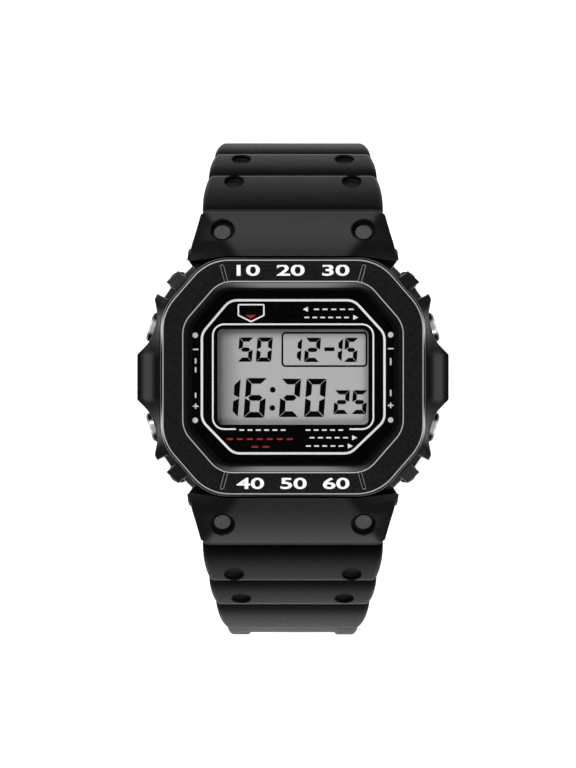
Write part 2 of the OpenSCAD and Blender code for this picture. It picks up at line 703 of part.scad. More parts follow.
module battery() {
    color("#c9ccd0") union() {
        bore(battery_r, battery_z, battery_z + battery_t - battery_step);
        bore(battery_r - battery_rim, battery_z, battery_z + battery_t);
    }
}
battery_step = 0.4;         // height of the battery's raised pole
battery_rim = 1.4;          // width of the rim round that pole
clip_w = 5;                 // width of the battery clip
hook_t = 0.3;               // thickness of the clip's hooks
hook_x = battery_r + seat_gap * 6;

module battery_clip() {
    color("#c9ccd0") {
        translate([-hook_x - hook_t, -clip_w / 2, module_z]) cube([(hook_x + hook_t) * 2, clip_w, clip_t]);
        for (s = [-1, 1])
            translate([s > 0 ? hook_x : -hook_x - hook_t, -clip_w / 2, module_z])
                cube([hook_t, clip_w, board_z - module_z]);
    }
}

module clip_slot(s) {
    far = hook_x + hook_t + seat_gap;
    translate([s > 0 ? 0 : -far, -clip_w / 2 - seat_gap, module_z - overrun])
        cube([far, clip_w + seat_gap * 2, clip_t + seat_gap + overrun]);
    translate([s > 0 ? hook_x - seat_gap : -far, -clip_w / 2 - seat_gap, module_z - overrun])
        cube([hook_t + seat_gap * 2, clip_w + seat_gap * 2, board_z - module_z + overrun * 2]);
}

module buzzer_disc() {
    color("#c79a3a") bore(cavity_least - buzzer_in, back_t, back_t + buzzer_t);
}

module buzzer_spring() {
    color("#c9ccd0") coil_axis() coil(coil_r, coil_wire, coil_z[0], coil_z[1], coil_turns);
}
coil_z = [cushion_z + run_gap / 2, board_z - run_gap / 2];
coil_ends = coil_z + [coil_wire, -coil_wire] / 2;
coil_points = coil_line(coil_r, coil_ends[0], coil_ends[1], coil_turns);
echo(buzzer_spring_gap = coil_gap(coil_points, coil_wire));

module module_cushion() {
    color("#3b3d40") difference() {
        slab(cavity_outline(-seat_gap * 2), cushion_z, module_z);
        bore(cushion_hole_r, cushion_z - overrun, module_z + overrun);
        coil_axis() bore(coil_r + coil_wire / 2 + seat_gap * 2, cushion_z - overrun, module_z + overrun);
    }
}
cushion_lap = 1.5;          // width of the cushion's ring under the battery
cushion_hole_r = battery_r - cushion_lap;

// Back
module case_back_gasket() {
    color("#101010") difference() {
        slab(cavity_outline(gasket_in + gasket_w - run_gap), back_t, back_t + gasket_t);
        slab(cavity_outline(gasket_in + run_gap), back_t - overrun, back_t + gasket_t + overrun);
    }
}

back_chamfer = 0.4;         // chamfer round the back plate

back_half = case_half - [back_in_side, back_in_end];
function back_outline(grow) = oct_outline(back_half, corner_at(back_half, back_cut), small_r, grow);

module case_back() {
    color("#b4b6b8") difference() {
        union() {
            slab(back_outline(0), back_chamfer, back_t);
            skin([lifted(back_outline(-back_chamfer), 0), lifted(back_outline(0), back_chamfer)]);
        }
        for (p = corners4(back_screw.x, back_screw.y)) translate(p) {
            bore(screw_d / 2 + seat_gap, -overrun, back_t + overrun);
            bore(screw_head_d / 2 + run_gap, -overrun, screw_head_t + seat_gap);
        }
    }
}

module case_back_screws() {
    color("#8d9094") for (p = corners4(back_screw.x, back_screw.y))
        translate(p) difference() {
            union() {
                bore(screw_d / 2, screw_head_t, back_t + back_thread);
                bore(screw_head_d / 2, seat_gap, screw_head_t + seat_gap);
            }
            driver_slot(screw_head_d / 2, seat_gap);
        }
}

// Buttons
stem_r = stem_d / 2;
ring_wire_r = 0.19;         // radius of a seal's section
groove_r = stem_r - ring_wire_r * 2 + run_gap * 0.6;
tail_r = 0.5;               // radius of a stem's thin end
tail_len = 0.9;             // length of a stem's thin end
tail_end_u = tube_in_u - tail_len;
clip_u = tube_in_u - run_gap * 1.2;
stem_clip_t = 0.28;         // thickness of a retaining clip
clip_neck_r = 0.4;          // radius of the groove that holds the clip
cap_edge = 0.25;            // chamfer round a button's face
seal_depth = 0.55;          // depth of a seal's middle in the narrow part of its tube
seal_u = seat_u - seal_depth;

module button_tubes() {
    color("#9b9da0") for (sx = [-1, 1], sy = [-1, 1]) at_button(sx, sy) difference() {
        bore(tube_r, tube_in_u, spot_u);
        bore(stem_r + run_gap, tube_in_u - overrun, spot_u + overrun);
        bore(spring_r + button_wire / 2 + side_gap, seat_u, spot_u + overrun);
    }
}
spring_r = stem_r + button_wire / 2 + run_gap * 4;

module button(sx, sy) {
    cap_r = button_d / 2;
    color("#c9cbce") at_button(sx, sy) rotate_extrude() polygon([
        [0, 0], [cap_r - cap_edge, 0], [cap_r, -cap_edge], [cap_r, -button_t], [stem_r, -button_t],
        [stem_r, seal_u + ring_wire_r + run_gap], [groove_r, seal_u + ring_wire_r + run_gap],
        [groove_r, seal_u - ring_wire_r - run_gap], [stem_r, seal_u - ring_wire_r - run_gap],
        [stem_r, tube_in_u], [clip_neck_r, tube_in_u],
        [clip_neck_r, clip_u - stem_clip_t - run_gap / 2], [tail_r, clip_u - stem_clip_t - run_gap / 2],
        [tail_r, tail_end_u], [0, tail_end_u]]);
}

module button_spring(sx, sy) {
    color("#b9bcc0") at_button(sx, sy) coil(spring_r, button_wire, spring_u[0], spring_u[1], button_turns);
}
spring_u = [seat_u + run_gap / 2, -button_t - run_gap / 2];
spring_ends = spring_u + [button_wire, -button_wire] / 2;
spring_points = coil_line(spring_r, spring_ends[0], spring_ends[1], button_turns);
echo(button_spring_gap = coil_gap(spring_points, button_wire));

module button_seal(sx, sy) {
    color("#101010") at_button(sx, sy) translate([0, 0, seal_u]) rotate_extrude()
        translate([groove_r + ring_wire_r + run_gap / 5, 0]) circle(r = ring_wire_r, $fn = 24);
}

module button_clip(sx, sy) {
    color("#8d9094") at_button(sx, sy) translate([0, 0, clip_u - stem_clip_t]) difference() {
        cylinder(r = stem_r + clip_rim, h = stem_clip_t);
        translate([0, 0, -overrun]) cylinder(r = clip_neck_r + run_gap / 2, h = stem_clip_t + overrun * 2);
        translate([0, -clip_neck_r * 0.8, -overrun])
            cube([stem_r * 2, clip_neck_r * 1.6, stem_clip_t + overrun * 2]);
    }
}

// Spring bars
lug_x = case_half.x - lug_in;
bar_y = case_half.y + bar_out;
bar_half = lug_x - side_gap;

module spring_bars() {
    color("#a4a7aa") for (s = [-1, 1]) {
        rod_x(bar_d / 2, -bar_half, bar_half, s * bar_y, bar_z);
        rod_x(tip_d / 2, -lug_x - tip_len, lug_x + tip_len, s * bar_y, bar_z);
    }
}

// Strap: a line in the YZ plane, followed by the length along it from the bezel.
// A leg of the line is [length, slope at its start, slope at its end], in degrees below level.
hood_z = shoulder_z + hood_rise;
hood_start = [bezel_half.y + hood_gap, hood_z];
bar_at = [bar_y, bar_z];
ledge_slopes = [40, 42];
ridge_slopes_12 = [43, 54, 66, 84, 102];
ridge_slopes_6 = [43, 54, 62, 68, 77];
side_slope = 92;            // slope at the start of the long half's curl
level = 180;                // slope of the straight ends
ridge_count = 4;

function down(a) = [cos(a), -sin(a)];
function out(a) = [sin(a), cos(a)];

// The bar's place along the hood and its depth below the hood
bar_s = (bar_at - hood_start) * down(hood_slope);
bar_depth = (hood_start - bar_at) * out(hood_slope);
hood_len = bar_s + hood_past_bar;
curl_r_6 = curl_r_12 + curl_past;
stretch_len = keeper_from_pin + keeper_len / 2 + keeper_room;

function leg_end(p, l, a0, a1) =
    a0 == a1 ? p + l * down(a0) : p + l * 180 / PI / (a1 - a0) * [sin(a1) - sin(a0), cos(a1) - cos(a0)];
function walk(s, legs, p = hood_start, i = 0) =
    let (leg = legs[i])
    s <= leg[0] || i == len(legs) - 1
        ? let (a = leg[1] + (leg[2] - leg[1]) * s / leg[0]) [leg_end(p, s, leg[1], a), a]
        : walk(s - leg[0], legs, leg_end(p, leg[0], leg[1], leg[2]), i + 1);
function curl_len(r, a) = r * (level - a) * PI / 180;

function first_legs(slopes) = concat(
    [[hood_len, hood_slope, hood_slope], [ledge_len, ledge_slopes[0], ledge_slopes[1]]],
    [for (i = [0:ridge_count - 1]) [ridge_len, slopes[i], slopes[i + 1]]]);
legs_12 = concat(first_legs(ridge_slopes_12),
    [[curl_len(curl_r_12, ridge_slopes_12[ridge_count]), ridge_slopes_12[ridge_count], level],
     [stretch_len, level, level]]);
legs_6 = concat(first_legs(ridge_slopes_6),
    [[side_len, ridge_slopes_6[ridge_count], side_slope],
     [curl_len(curl_r_6, side_slope), side_slope, level],
     [run_len, level, level]]);
function legs_sum(legs, n) = n == 0 ? 0 : legs[n - 1][0] + legs_sum(legs, n - 1);
ridge_start = hood_len + ledge_len;
ridge_end = ridge_start + ridge_count * ridge_len;
pin_s = legs_sum(legs_12, len(legs_12));
curl_end_12 = pin_s - stretch_len;
tip_s = legs_sum(legs_6, len(legs_6));
run_start = tip_s - run_len;

// Widths and thicknesses
hood_half = lug_x + lug_t + hood_past_lug;
root_half = hood_half - hood_taper - root_in;
mid_half = root_half - ridge_taper;
buckle_half = mid_half - buckle_taper;
tip_half = mid_half - tip_taper;
root_r = lug_r + root_past_lug;
shoulder_t = 6;             // thickness at the first ridge's start, thinning to the strap's own
plain_drop = ridge_step / 2;

// One cross section: p is the outer edge of the strap's middle line, q the inner one
function section(p, q, half_w, bevel, drop) =
    let (n = unit(q - p), t = norm(q - p), low = min(edge, t / 3),
         pts = [[-(half_w - bevel), 0], [half_w - bevel, 0], [half_w, drop], [half_w, t - low],
             [half_w - low, t], [low - half_w, t], [-half_w, t - low], [-half_w, drop]])
    [for (v = pts) [v.x, p.x + n.x * v.y, p.y + n.y * v.y]];
function width_at(s, end_s, end_half) = lookup(s, [[0, hood_half], [hood_len, hood_half - hood_taper],
    [ridge_start, root_half], [ridge_end, mid_half], [end_s, end_half]]);
function thick_at(s, flat_s) = lookup(s, [[bar_s, bar_depth + root_r], [ridge_start, shoulder_t],
    [ridge_start + ridge_len, root_t], [ridge_end, mid_t], [flat_s, end_t]]);
function strap_section(s, legs, sunk, half_w, t) =
    let (w = walk(s, legs), n = -out(w[1])) section(w[0] + n * sunk, w[0] + n * t, half_w, edge, edge);

// Hood: its inner edge runs from the lip round the spring bar
hood_steps = 6;
hood_turn = [140, 240];     // directions from the spring bar that the hood's inner edge sweeps, in degrees
function hood_sections() = concat(
    [section(hood_start, [case_half.y + side_gap, hood_z - hood_lip], hood_half, facet_w, facet_drop)],
    [for (i = [1:hood_steps])
        let (f = i / hood_steps, s = bar_s * f, g = s / hood_len,
             a = hood_turn[0] + (hood_turn[1] - hood_turn[0]) * (i - 1) / (hood_steps - 1))
        section(hood_start + s * down(hood_slope), bar_at + root_r * [cos(a), sin(a)],
            hood_half - hood_taper * g, facet_w + (edge - facet_w) * g,
            facet_drop + (edge - facet_drop) * g)]);
function ridge_sections(legs, end_s, end_half, flat_s) = concat(
    [for (s = [hood_len - crisp, hood_len, ridge_start - crisp])
        strap_section(s, legs, s < hood_len ? 0 : ledge_depth, width_at(s, end_s, end_half),
            thick_at(s, flat_s))],
    [for (k = [0:ridge_count - 1], f = ridge_shares)
        let (s = ridge_start + k * ridge_len + f * (ridge_len - crisp))
        strap_section(s, legs, ridge_step * (1 - f) + (k == 0 && f == 0 ? crisp : 0),
            width_at(s, end_s, end_half) + ridge_bulge * 4 * f * (1 - f), thick_at(s, flat_s))]);
function plain_sections(legs, from, to, steps, end_s, end_half, flat_s) =
    [for (i = [0:steps]) let (s = from + (to - from) * i / steps)
        strap_section(s, legs, plain_drop, width_at(s, end_s, end_half), thick_at(s, flat_s))];
ridge_shares = [0, 0.33, 0.67, 1]; // places of a ridge's sections along it
ridge_bulge = 0.25;         // how far a ridge's sides bow out
step_len = 2.6;             // length of one facet along the curls

module at_strap(s, legs, x = 0) {
    w = walk(s, legs);
    translate([x, w[0].x, w[0].y]) rotate([-w[1], 0, 0]) children();
}

// What both halves share: the bar's bore, the pockets for the lugs, and the round recesses
module strap_cuts(legs) {
    rod_x(bar_d / 2 + run_gap, -hood_half - overrun, hood_half + overrun, bar_y, bar_z);
    for (s = [-1, 1]) {
        x0 = s > 0 ? lug_x - side_gap : -lug_x - lug_t - side_gap;
        rod_x(lug_r + pocket_gap, x0, x0 + lug_t + side_gap * 2, bar_y, bar_z);
        translate([x0, hood_start.x - overrun, bar_z - lug_r - pocket_gap])
            cube([lug_t + side_gap * 2, bar_y - hood_start.x + overrun, (lug_r + pocket_gap) * 2]);
        at_strap(stud_s, legs, s * stud_x) {
            bore(stud_recess_d / 2, -stud_recess_depth, overrun);
            bore(stud_shank_r + run_gap, -stud_recess_depth - stud_shank, overrun);
        }
        for (k = [0:1])
            at_strap(ridge_start + (k + dimple_share) * ridge_len, legs, s * root_half * dimple_x_shares[k])
                bore(dimple_d / 2, -dimple_depth - ridge_step * (1 - dimple_share), overrun);
    }
}
pocket_gap = 0.25;          // room round a lug's nose in the strap
stud_back = 2;              // distance of the studs back from the spring bar, along the hood
stud_s = bar_s - stud_back;
stud_x = hood_half - stud_in;
stud_shank = 0.5;           // length of a stud's shank in the strap
stud_shank_r = 0.6;         // radius of that shank
stud_t = 0.35;              // height of a stud's head
dimple_share = 0.75;        // place of the recesses along their ridges
dimple_x_shares = [0.654, 0.58]; // places of the recesses across the first two ridges

// A shallow channel along the outer face
module channel(legs, from, to) {
    steps = ceil((to - from) / step_len);
    skin([for (i = [0:steps])
        let (w = walk(from + (to - from) * i / steps, legs), n = out(w[1]),
             p = w[0] - n * (plain_drop + channel_depth), q = w[0] + n * overrun)
        [[-channel_half, q.x, q.y], [channel_half, q.x, q.y],
            [channel_half, p.x, p.y], [-channel_half, p.x, p.y]]]);
}
channel_half = tip_half - channel_in;
channel_gap = 1.5;          // distance of the channel from the last ridge

module strap_studs(legs) {
    color("#5c5e61") for (s = [-1, 1]) at_strap(stud_s, legs, s * stud_x) {
        bore(stud_d / 2, -stud_recess_depth, -stud_recess_depth + stud_t);
        bore(stud_shank_r, -stud_recess_depth - stud_shank + run_gap, -stud_recess_depth + stud_t / 2);
    }
}

// Short half, with the buckle
pin_at = walk(pin_s, legs_12)[0] - out(level) * (plain_drop + (end_t - plain_drop) / 2);
pin_y = pin_at.x;
pin_z = pin_at.y;
end_r = (end_t - plain_drop) / 2;
prong_slot_w = prong_w + side_gap * 4;
prong_slot_len = 5;         // how far the slot for the prong runs past the pin

module strap_buckle_half() {
    flat_s = curl_end_12;
    steps = ceil((curl_end_12 - ridge_end) / step_len);
    color("#232426") difference() {
        union() {
            skin(concat(hood_sections(), ridge_sections(legs_12, flat_s, buckle_half, flat_s),
                plain_sections(legs_12, ridge_end, curl_end_12, steps, flat_s, buckle_half, flat_s),
                plain_sections(legs_12, pin_s, pin_s, 1, flat_s, buckle_half, flat_s)));
            rod_x(end_r, -buckle_half, buckle_half, pin_y, pin_z);
        }
        strap_cuts(legs_12);
        channel(legs_12, ridge_end + channel_gap, curl_end_12 - channel_gap);
        rod_x(pin_d / 2 + run_gap, -buckle_half - overrun, buckle_half + overrun, pin_y, pin_z);
        translate([-prong_slot_w / 2, pin_y - end_r - overrun, pin_z - end_t])
            cube([prong_slot_w, end_r + overrun + prong_slot_len, end_t * 2]);
    }
}

// Long half, with the prong holes; made like the short one and then turned to 6 o'clock
tip_len_total = 7;          // length over which the tip rounds off
tip_t = 2.2;                // thickness at the very tip

module strap_tip_half() {
    flat_s = run_start;
    steps = ceil((run_start - ridge_end) / step_len);
    color("#232426") rotate([0, 0, 180]) difference() {
        skin(concat(hood_sections(), ridge_sections(legs_6, tip_s, tip_half, flat_s),
            plain_sections(legs_6, ridge_end, run_start, steps, tip_s, tip_half, flat_s),
            [for (a = [0, 20, 40, 60, 75])
                let (s = tip_s - tip_len_total * (1 - sin(a)))
                strap_section(s, legs_6, plain_drop, tip_half * sqrt(cos(a)) + edge * (1 - cos(a)),
                    end_t + (tip_t - end_t) * (1 - cos(a)))]));
        strap_cuts(legs_6);
        channel(legs_6, ridge_end + channel_gap, run_start - channel_gap);
        for (i = [0:hole_count - 1]) at_strap(tip_s - hole_in - i * hole_pitch, legs_6)
            bore(hole_d / 2, -end_t * 2, overrun);
    }
}

// Buckle: the frame hangs from its pin, and the prong lies on the frame's far bar
arm_in = buckle_half + side_gap;
arm_root_r = 1.9;           // radius of an arm round the pin
arm_lip = 0.2;              // how far an arm's end stands out round the far bar
pin_depth = 1.2;            // depth of the pin in an arm
bar_notch = 0.5;            // depth of the rest for the prong in the far bar
ring_out = 1.4;             // radius of the prong's ring round the pin

module buckle_pin() {
    half = arm_in + pin_depth - run_gap;
    color("#a4a7aa") rod_x(pin_d / 2, -half, half, pin_y, pin_z);
}

module buckle_frame() {
    reach = arm_in + arm_t;
    notch_y = pin_y + frame_bar_d / 2 - bar_notch;
    color("#9b9da0") difference() {
        union() {
            for (x = [-reach, arm_in])
                translate([x, pin_y, pin_z]) rotate([90, 0, 90]) linear_extrude(arm_t) hull() {
                    circle(r = arm_root_r, $fn = 32);
                    translate([0, -frame_len]) circle(r = frame_bar_d / 2 + arm_lip, $fn = 32);
                }
            rod_x(frame_bar_d / 2, -reach + arm_t / 2, reach - arm_t / 2, pin_y, pin_z - frame_len);
        }
        rod_x(pin_d / 2 + run_gap, -arm_in - pin_depth, arm_in + pin_depth, pin_y, pin_z);
        translate([-prong_slot_w / 2, notch_y, pin_z - frame_len - frame_bar_d])
            cube([prong_slot_w, frame_bar_d, frame_bar_d * 2]);
    }
}

module prong() {
    rest_y = frame_bar_d / 2 - bar_notch + run_gap + prong_t / 2;
    tip = frame_len + frame_bar_d / 2 - prong_t / 4;
    color("#a4a7aa") difference() {
        union() {
            rod_x(ring_out, -prong_w / 2, prong_w / 2, pin_y, pin_z);
            translate([-prong_w / 2, pin_y, pin_z]) rotate([90, 0, 90]) linear_extrude(prong_w) {
                hull() {
                    translate([ring_out - prong_t / 2, -ring_out / 2]) circle(r = prong_t / 2, $fn = 24);
                    translate([rest_y, -frame_len]) circle(r = prong_t / 2, $fn = 24);
                }
                hull() {
                    translate([rest_y, -frame_len]) circle(r = prong_t / 2, $fn = 24);
                    translate([rest_y - prong_t / 6, -tip]) circle(r = prong_t / 3, $fn = 24);
                }
            }
        }
        rod_x(pin_d / 2 + run_gap, -prong_w, prong_w, pin_y, pin_z);
    }
}

// Keeper: a loop round the straight end of the short half
keeper_gap = 0.2;           // room between the keeper and the strap
keeper_y = pin_y + keeper_from_pin;
keeper_r = 1.2;             // radius of the keeper's outer corners

module keeper() {
    top = pin_z + end_r + keeper_gap;
    low = pin_z - end_r - keeper_space;
    half_w = buckle_half + keeper_gap;
    mid = (top + low) / 2;
    half_h = (top - low) / 2;
    color("#232426") translate([0, keeper_y + keeper_len / 2, mid]) rotate([90, 0, 0])
        linear_extrude(keeper_len) difference() {
            polygon(box_outline(half_w + keeper_t, half_h + keeper_t, keeper_r));
            polygon(box_outline(half_w, half_h, keeper_r / 3));
        }
}

case_center();
bezel();
bezel_screws();
glass();
glass_gasket();
display_mask();
lcd_panel();
zebra_strips();
backlight_panel();
module_frame();
circuit_board();
chip();
quartz_crystal();
switch_contacts();
battery();
battery_clip();
buzzer_disc();
buzzer_spring();
module_cushion();
case_back_gasket();
case_back();
case_back_screws();
button_tubes();
spring_bars();
button(1, 1);  // button_2
button_spring(1, 1);  // button_2_spring
button_seal(1, 1);  // button_2_seal
button_clip(1, 1);  // button_2_clip
button(1, -1);  // button_4
button_spring(1, -1);  // button_4_spring
button_seal(1, -1);  // button_4_seal
button_clip(1, -1);  // button_4_clip
button(-1, -1);  // button_8
button_spring(-1, -1);  // button_8_spring
button_seal(-1, -1);  // button_8_seal
button_clip(-1, -1);  // button_8_clip
button(-1, 1);  // button_10
button_spring(-1, 1);  // button_10_spring
button_seal(-1, 1);  // button_10_seal
button_clip(-1, 1);  // button_10_clip
strap_buckle_half();
strap_studs(legs_12);  // strap_studs_12
strap_tip_half();
rotate([0, 0, 180]) strap_studs(legs_6);  // strap_studs_6
keeper();
buckle_pin();
buckle_frame();
prong();
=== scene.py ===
"""A digital sport watch on an open resin strap: its looks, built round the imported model.

Lengths are in millimetres, in the part's own frame: +Z out of the dial, +Y to 12 o'clock, +X to 3 o'clock,
with the origin on the back plate. A mesh is turned to metres when it is made.
"""

import math

import bpy
import numpy as np
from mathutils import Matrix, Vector


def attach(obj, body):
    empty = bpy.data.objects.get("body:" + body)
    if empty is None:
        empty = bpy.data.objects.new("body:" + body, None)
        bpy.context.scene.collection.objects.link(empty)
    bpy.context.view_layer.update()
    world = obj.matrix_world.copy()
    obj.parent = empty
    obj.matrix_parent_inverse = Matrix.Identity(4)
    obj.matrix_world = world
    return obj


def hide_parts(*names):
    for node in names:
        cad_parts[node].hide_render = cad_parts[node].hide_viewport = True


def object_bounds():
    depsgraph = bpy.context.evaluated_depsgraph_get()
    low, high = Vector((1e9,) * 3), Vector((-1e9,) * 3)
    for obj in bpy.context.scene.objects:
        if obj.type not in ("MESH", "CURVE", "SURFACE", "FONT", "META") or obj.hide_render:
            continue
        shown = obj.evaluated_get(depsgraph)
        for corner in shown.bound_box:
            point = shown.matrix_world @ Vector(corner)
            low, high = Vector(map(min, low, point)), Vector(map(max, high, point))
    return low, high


MM = 0.001
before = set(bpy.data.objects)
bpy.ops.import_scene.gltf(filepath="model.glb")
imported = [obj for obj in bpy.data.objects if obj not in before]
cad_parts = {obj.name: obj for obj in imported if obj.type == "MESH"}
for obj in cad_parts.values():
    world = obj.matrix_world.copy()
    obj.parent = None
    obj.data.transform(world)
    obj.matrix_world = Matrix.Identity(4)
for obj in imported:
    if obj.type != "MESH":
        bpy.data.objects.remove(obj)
cad_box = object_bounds()

# Sizes shared with the part's source
CORNER_TURN = math.radians(41)
SKIRT_Z, SHOULDER_Z, FLANGE_Z, FLANGE_TOP_Z = 3.3, 8.6, 9.7, 11.6
LCD_TOP, GLASS_LOW, GLASS_TOP, BEZEL_TOP = 9.5, 10.7, 12.2, 13.5
BUTTON_HOURS = (2, 4, 8, 10)
BUTTON_AT, BUTTON_Z, BUTTON_TURN = (20.35, 7.2492), 6.1, math.radians(17)
HOOD_START, HOOD_SLOPE, HOOD_LEN = np.array([17.05, 11.1]), 30, 7.6
LEDGE_LEN, RIDGE_LEN = 1.2, 7.2
BAR_AT, BAR_R = np.array([20.4, 4.1]), 2.7
BUCKLE_END_R = 1.3625
RIDGE_START = HOOD_LEN + LEDGE_LEN
RIDGE_END = RIDGE_START + 4 * RIDGE_LEN


# Meshes

def smooth(x):
    """Eases from 0 to 1: 3x^2 - 2x^3 between 0 and 1, and level outside."""
    x = np.clip(x, 0, 1)
    return x * x * (3 - 2 * x)


def link(name, data):
    """A new object in the scene, with this mesh, curve, lamp or camera."""
    thing = bpy.data.objects.new(name, data)
    bpy.context.scene.collection.objects.link(thing)
    return thing


def grid_faces(rows, cols, wrap_rows=False, wrap_cols=False):
    """The four corners of each cell in a grid of points, rows by cols, wrapping round where asked."""
    r = np.arange(rows if wrap_rows else rows - 1)[:, None]
    c = np.arange(cols if wrap_cols else cols - 1)[None, :]
    below, right = (r + 1) % rows, (c + 1) % cols
    corners = np.broadcast_arrays(r * cols + c, r * cols + right, below * cols + right, below * cols + c)
    return np.stack(corners, -1).reshape(-1, 4)


def mesh_from(name, points, faces):
    """A mesh of these points, in millimetres, and faces, each a list of point numbers."""
    mesh = bpy.data.meshes.new(name)
    mesh.from_pydata(np.asarray(points, float) * MM, [], [list(map(int, f)) for f in faces])
    mesh.update()
    return mesh


def points_of(mesh):
    """A mesh's points in metres, one in each row."""
    points = np.zeros(len(mesh.vertices) * 3, np.float32)
    mesh.vertices.foreach_get("co", points)
    return points.reshape(-1, 3)


def move_points(mesh, points):
    mesh.vertices.foreach_set("co", points.astype(np.float32).ravel())
    mesh.update()
    return mesh


def facing_out(mesh):
    """The same closed mesh with every face turned outwards: the sum of a . (b x c) over its triangles is then
    positive."""
    mesh.calc_loop_triangles()
    corners = np.zeros(len(mesh.loop_triangles) * 3, int)
    mesh.loop_triangles.foreach_get("vertices", corners)
    a, b, c = points_of(mesh).astype(float)[corners.reshape(-1, 3)].transpose(1, 0, 2)
    if np.einsum("ij,ij->", a, np.cross(b, c)) < 0:
        mesh.flip_normals()
    return mesh


def half_turn(mesh):
    """Turns a mesh made at 12 o'clock to 6 o'clock."""
    return move_points(mesh, points_of(mesh) * np.array([-1, -1, 1], np.float32))


def finished(thing):
    """The mesh that an object shows once its modifiers or letters are worked out. The object goes."""
    mesh = bpy.data.meshes.new_from_object(thing.evaluated_get(bpy.context.evaluated_depsgraph_get()))
    bpy.data.objects.remove(thing)
    return mesh


def cut_away(mesh, *cutters):
    """The mesh less each cutter, a closed mesh, one after the other."""
    name = mesh.name
    body = link(name, mesh)
    tools = [link("cutter", cutter) for cutter in cutters]
    for tool in tools:
        boolean = body.modifiers.new("cut", "BOOLEAN")
        boolean.object, boolean.operation, boolean.solver = tool, "DIFFERENCE", "MANIFOLD"
    result = finished(body)
    for tool in tools:
        bpy.data.objects.remove(tool)
    for leftover in (mesh, *cutters):
        bpy.data.meshes.remove(leftover)
    result.name = name
    return result


def add_piece(mesh, finish, body, replaces=(), sharp=35):
    """Puts a mesh on its body as a finished piece: smooth, with edges over `sharp` degrees kept crisp."""
    piece = link(mesh.name, mesh)
    mesh.polygons.foreach_set("use_smooth", np.ones(len(mesh.polygons), bool))
    mesh.polygons.foreach_set("material_index", np.zeros(len(mesh.polygons), np.int32))
    mesh.set_sharp_from_angle(angle=math.radians(sharp))
    mesh.materials.clear()
    mesh.materials.append(finish.material)
    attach(piece, body)
    if replaces:
        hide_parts(*replaces)


def set_shares(mesh, **shares):
    """Keeps a share from 0 to 1 for each point of a mesh, under each name."""
    for name, values in shares.items():
        layer = mesh.attributes.new(name, "FLOAT", "POINT")
        layer.data.foreach_set("value", np.asarray(values, np.float32).ravel())


def prisms(outlines, low, high):
    """Points and faces of upright prisms: each outline, counter-clockwise, at the heights low and high."""
    points, faces, at = [], [], 0
    for outline in outlines:
        outline = counter_clockwise(outline)
        n = len(outline)
        for z in (low, high):
            points.append(np.column_stack([outline, np.full(n, z)]))
        i = np.arange(n)
        j = (i + 1) % n
        faces += np.stack([at + i, at + j, at + n + j, at + n + i], -1).tolist()
        faces += [(at + i[::-1]).tolist(), (at + n + i).tolist()]
        at += 2 * n
    return np.concatenate(points), faces


def ring_band(outer, inner, low, high):
    """Points and faces of a flat band between two loops with equally many points: four rings, joined
    round."""
    rings = [(outer, low), (outer, high), (inner, high), (inner, low)]
    points = np.concatenate([np.column_stack([loop, np.full(len(loop), z)]) for loop, z in rings])
    return points, grid_faces(4, len(outer), True, True).tolist()


def gathered(name, parts):
    """One mesh of several (points, faces) parts."""
    points, faces, at = [], [], 0
    for p, f in parts:
        points.append(p)
        faces += [[at + int(i) for i in face] for face in f]
        at += len(p)
    return mesh_from(name, np.concatenate(points), faces)


def outward_parts(name, parts):
    """One cutter of closed parts that don't touch, each turned outwards."""
    turned = []
    for points, faces in parts:
        mesh = facing_out(mesh_from("part", points, faces))
        turned.append((points, [list(p.vertices) for p in mesh.polygons]))
        bpy.data.meshes.remove(mesh)
    return gathered(name, turned)


# Outlines

def counter_clockwise(outline):
    outline = np.asarray(outline, float)
    x, y = outline.T
    area = (x * np.roll(y, -1) - y * np.roll(x, -1)).sum()
    return outline if area > 0 else outline[::-1]


def circle(x, y, radius, count=40):
    """Points round a circle."""
    a = np.linspace(0, 2 * np.pi, count, endpoint=False)
    return np.column_stack([x + radius * np.cos(a), y + radius * np.sin(a)])


def blended(corners, radius, steps=8):
    """A closed outline whose corners are arcs: each arc's centre is on the corner's bisector, radius /
    sin(half the corner's angle) away, and it runs between the points where it touches the two sides."""
    p = np.asarray(corners, float)
    back, ahead = np.roll(p, 1, 0) - p, np.roll(p, -1, 0) - p
    u = back / np.linalg.norm(back, axis=1, keepdims=True)
    v = ahead / np.linalg.norm(ahead, axis=1, keepdims=True)
    half = np.arccos((u * v).sum(1))[:, None] / 2
    bisector = (u + v) / np.linalg.norm(u + v, axis=1, keepdims=True)
    radius = np.broadcast_to(np.asarray(radius, float), len(p))[:, None]
    centre = p + bisector * radius / np.sin(half)
    start, end = (p + w * radius / np.tan(half) - centre for w in (u, v))
    first = np.arctan2(start[:, 1], start[:, 0])
    turn = (np.arctan2(end[:, 1], end[:, 0]) - first + np.pi) % (2 * np.pi) - np.pi
    a = first[:, None] + turn[:, None] * np.linspace(0, 1, steps + 1)
    arc = np.stack([np.cos(a), np.sin(a)], -1) * radius[:, :, None]
    return (centre[:, None] + arc).reshape(-1, 2)


def mirrored_round(quarter):
    """A closed outline from its points in the first quarter, in order, mirrored into the other three."""
    quarter = np.asarray(quarter, float)
    return np.concatenate([quarter, (quarter * [-1, 1])[::-1], -quarter, (quarter * [1, -1])[::-1]])


def octagon(half_w, half_l, corner):
    """The eight corners of a box whose corners are cut by lines at `corner` from the centre."""
    c, s = math.cos(CORNER_TURN), math.sin(CORNER_TURN)
    return mirrored_round([(half_w, (corner - half_w * c) / s), ((corner - half_l * s) / c, half_l)])


def box_outline(half_w, half_l, radius, x=0.0, y=0.0):
    """A rectangle with round corners, centred on (x, y)."""
    corners = np.array([[1, -1], [1, 1], [-1, 1], [-1, -1]]) * [half_w, half_l]
    return blended(corners, radius) + [x, y]


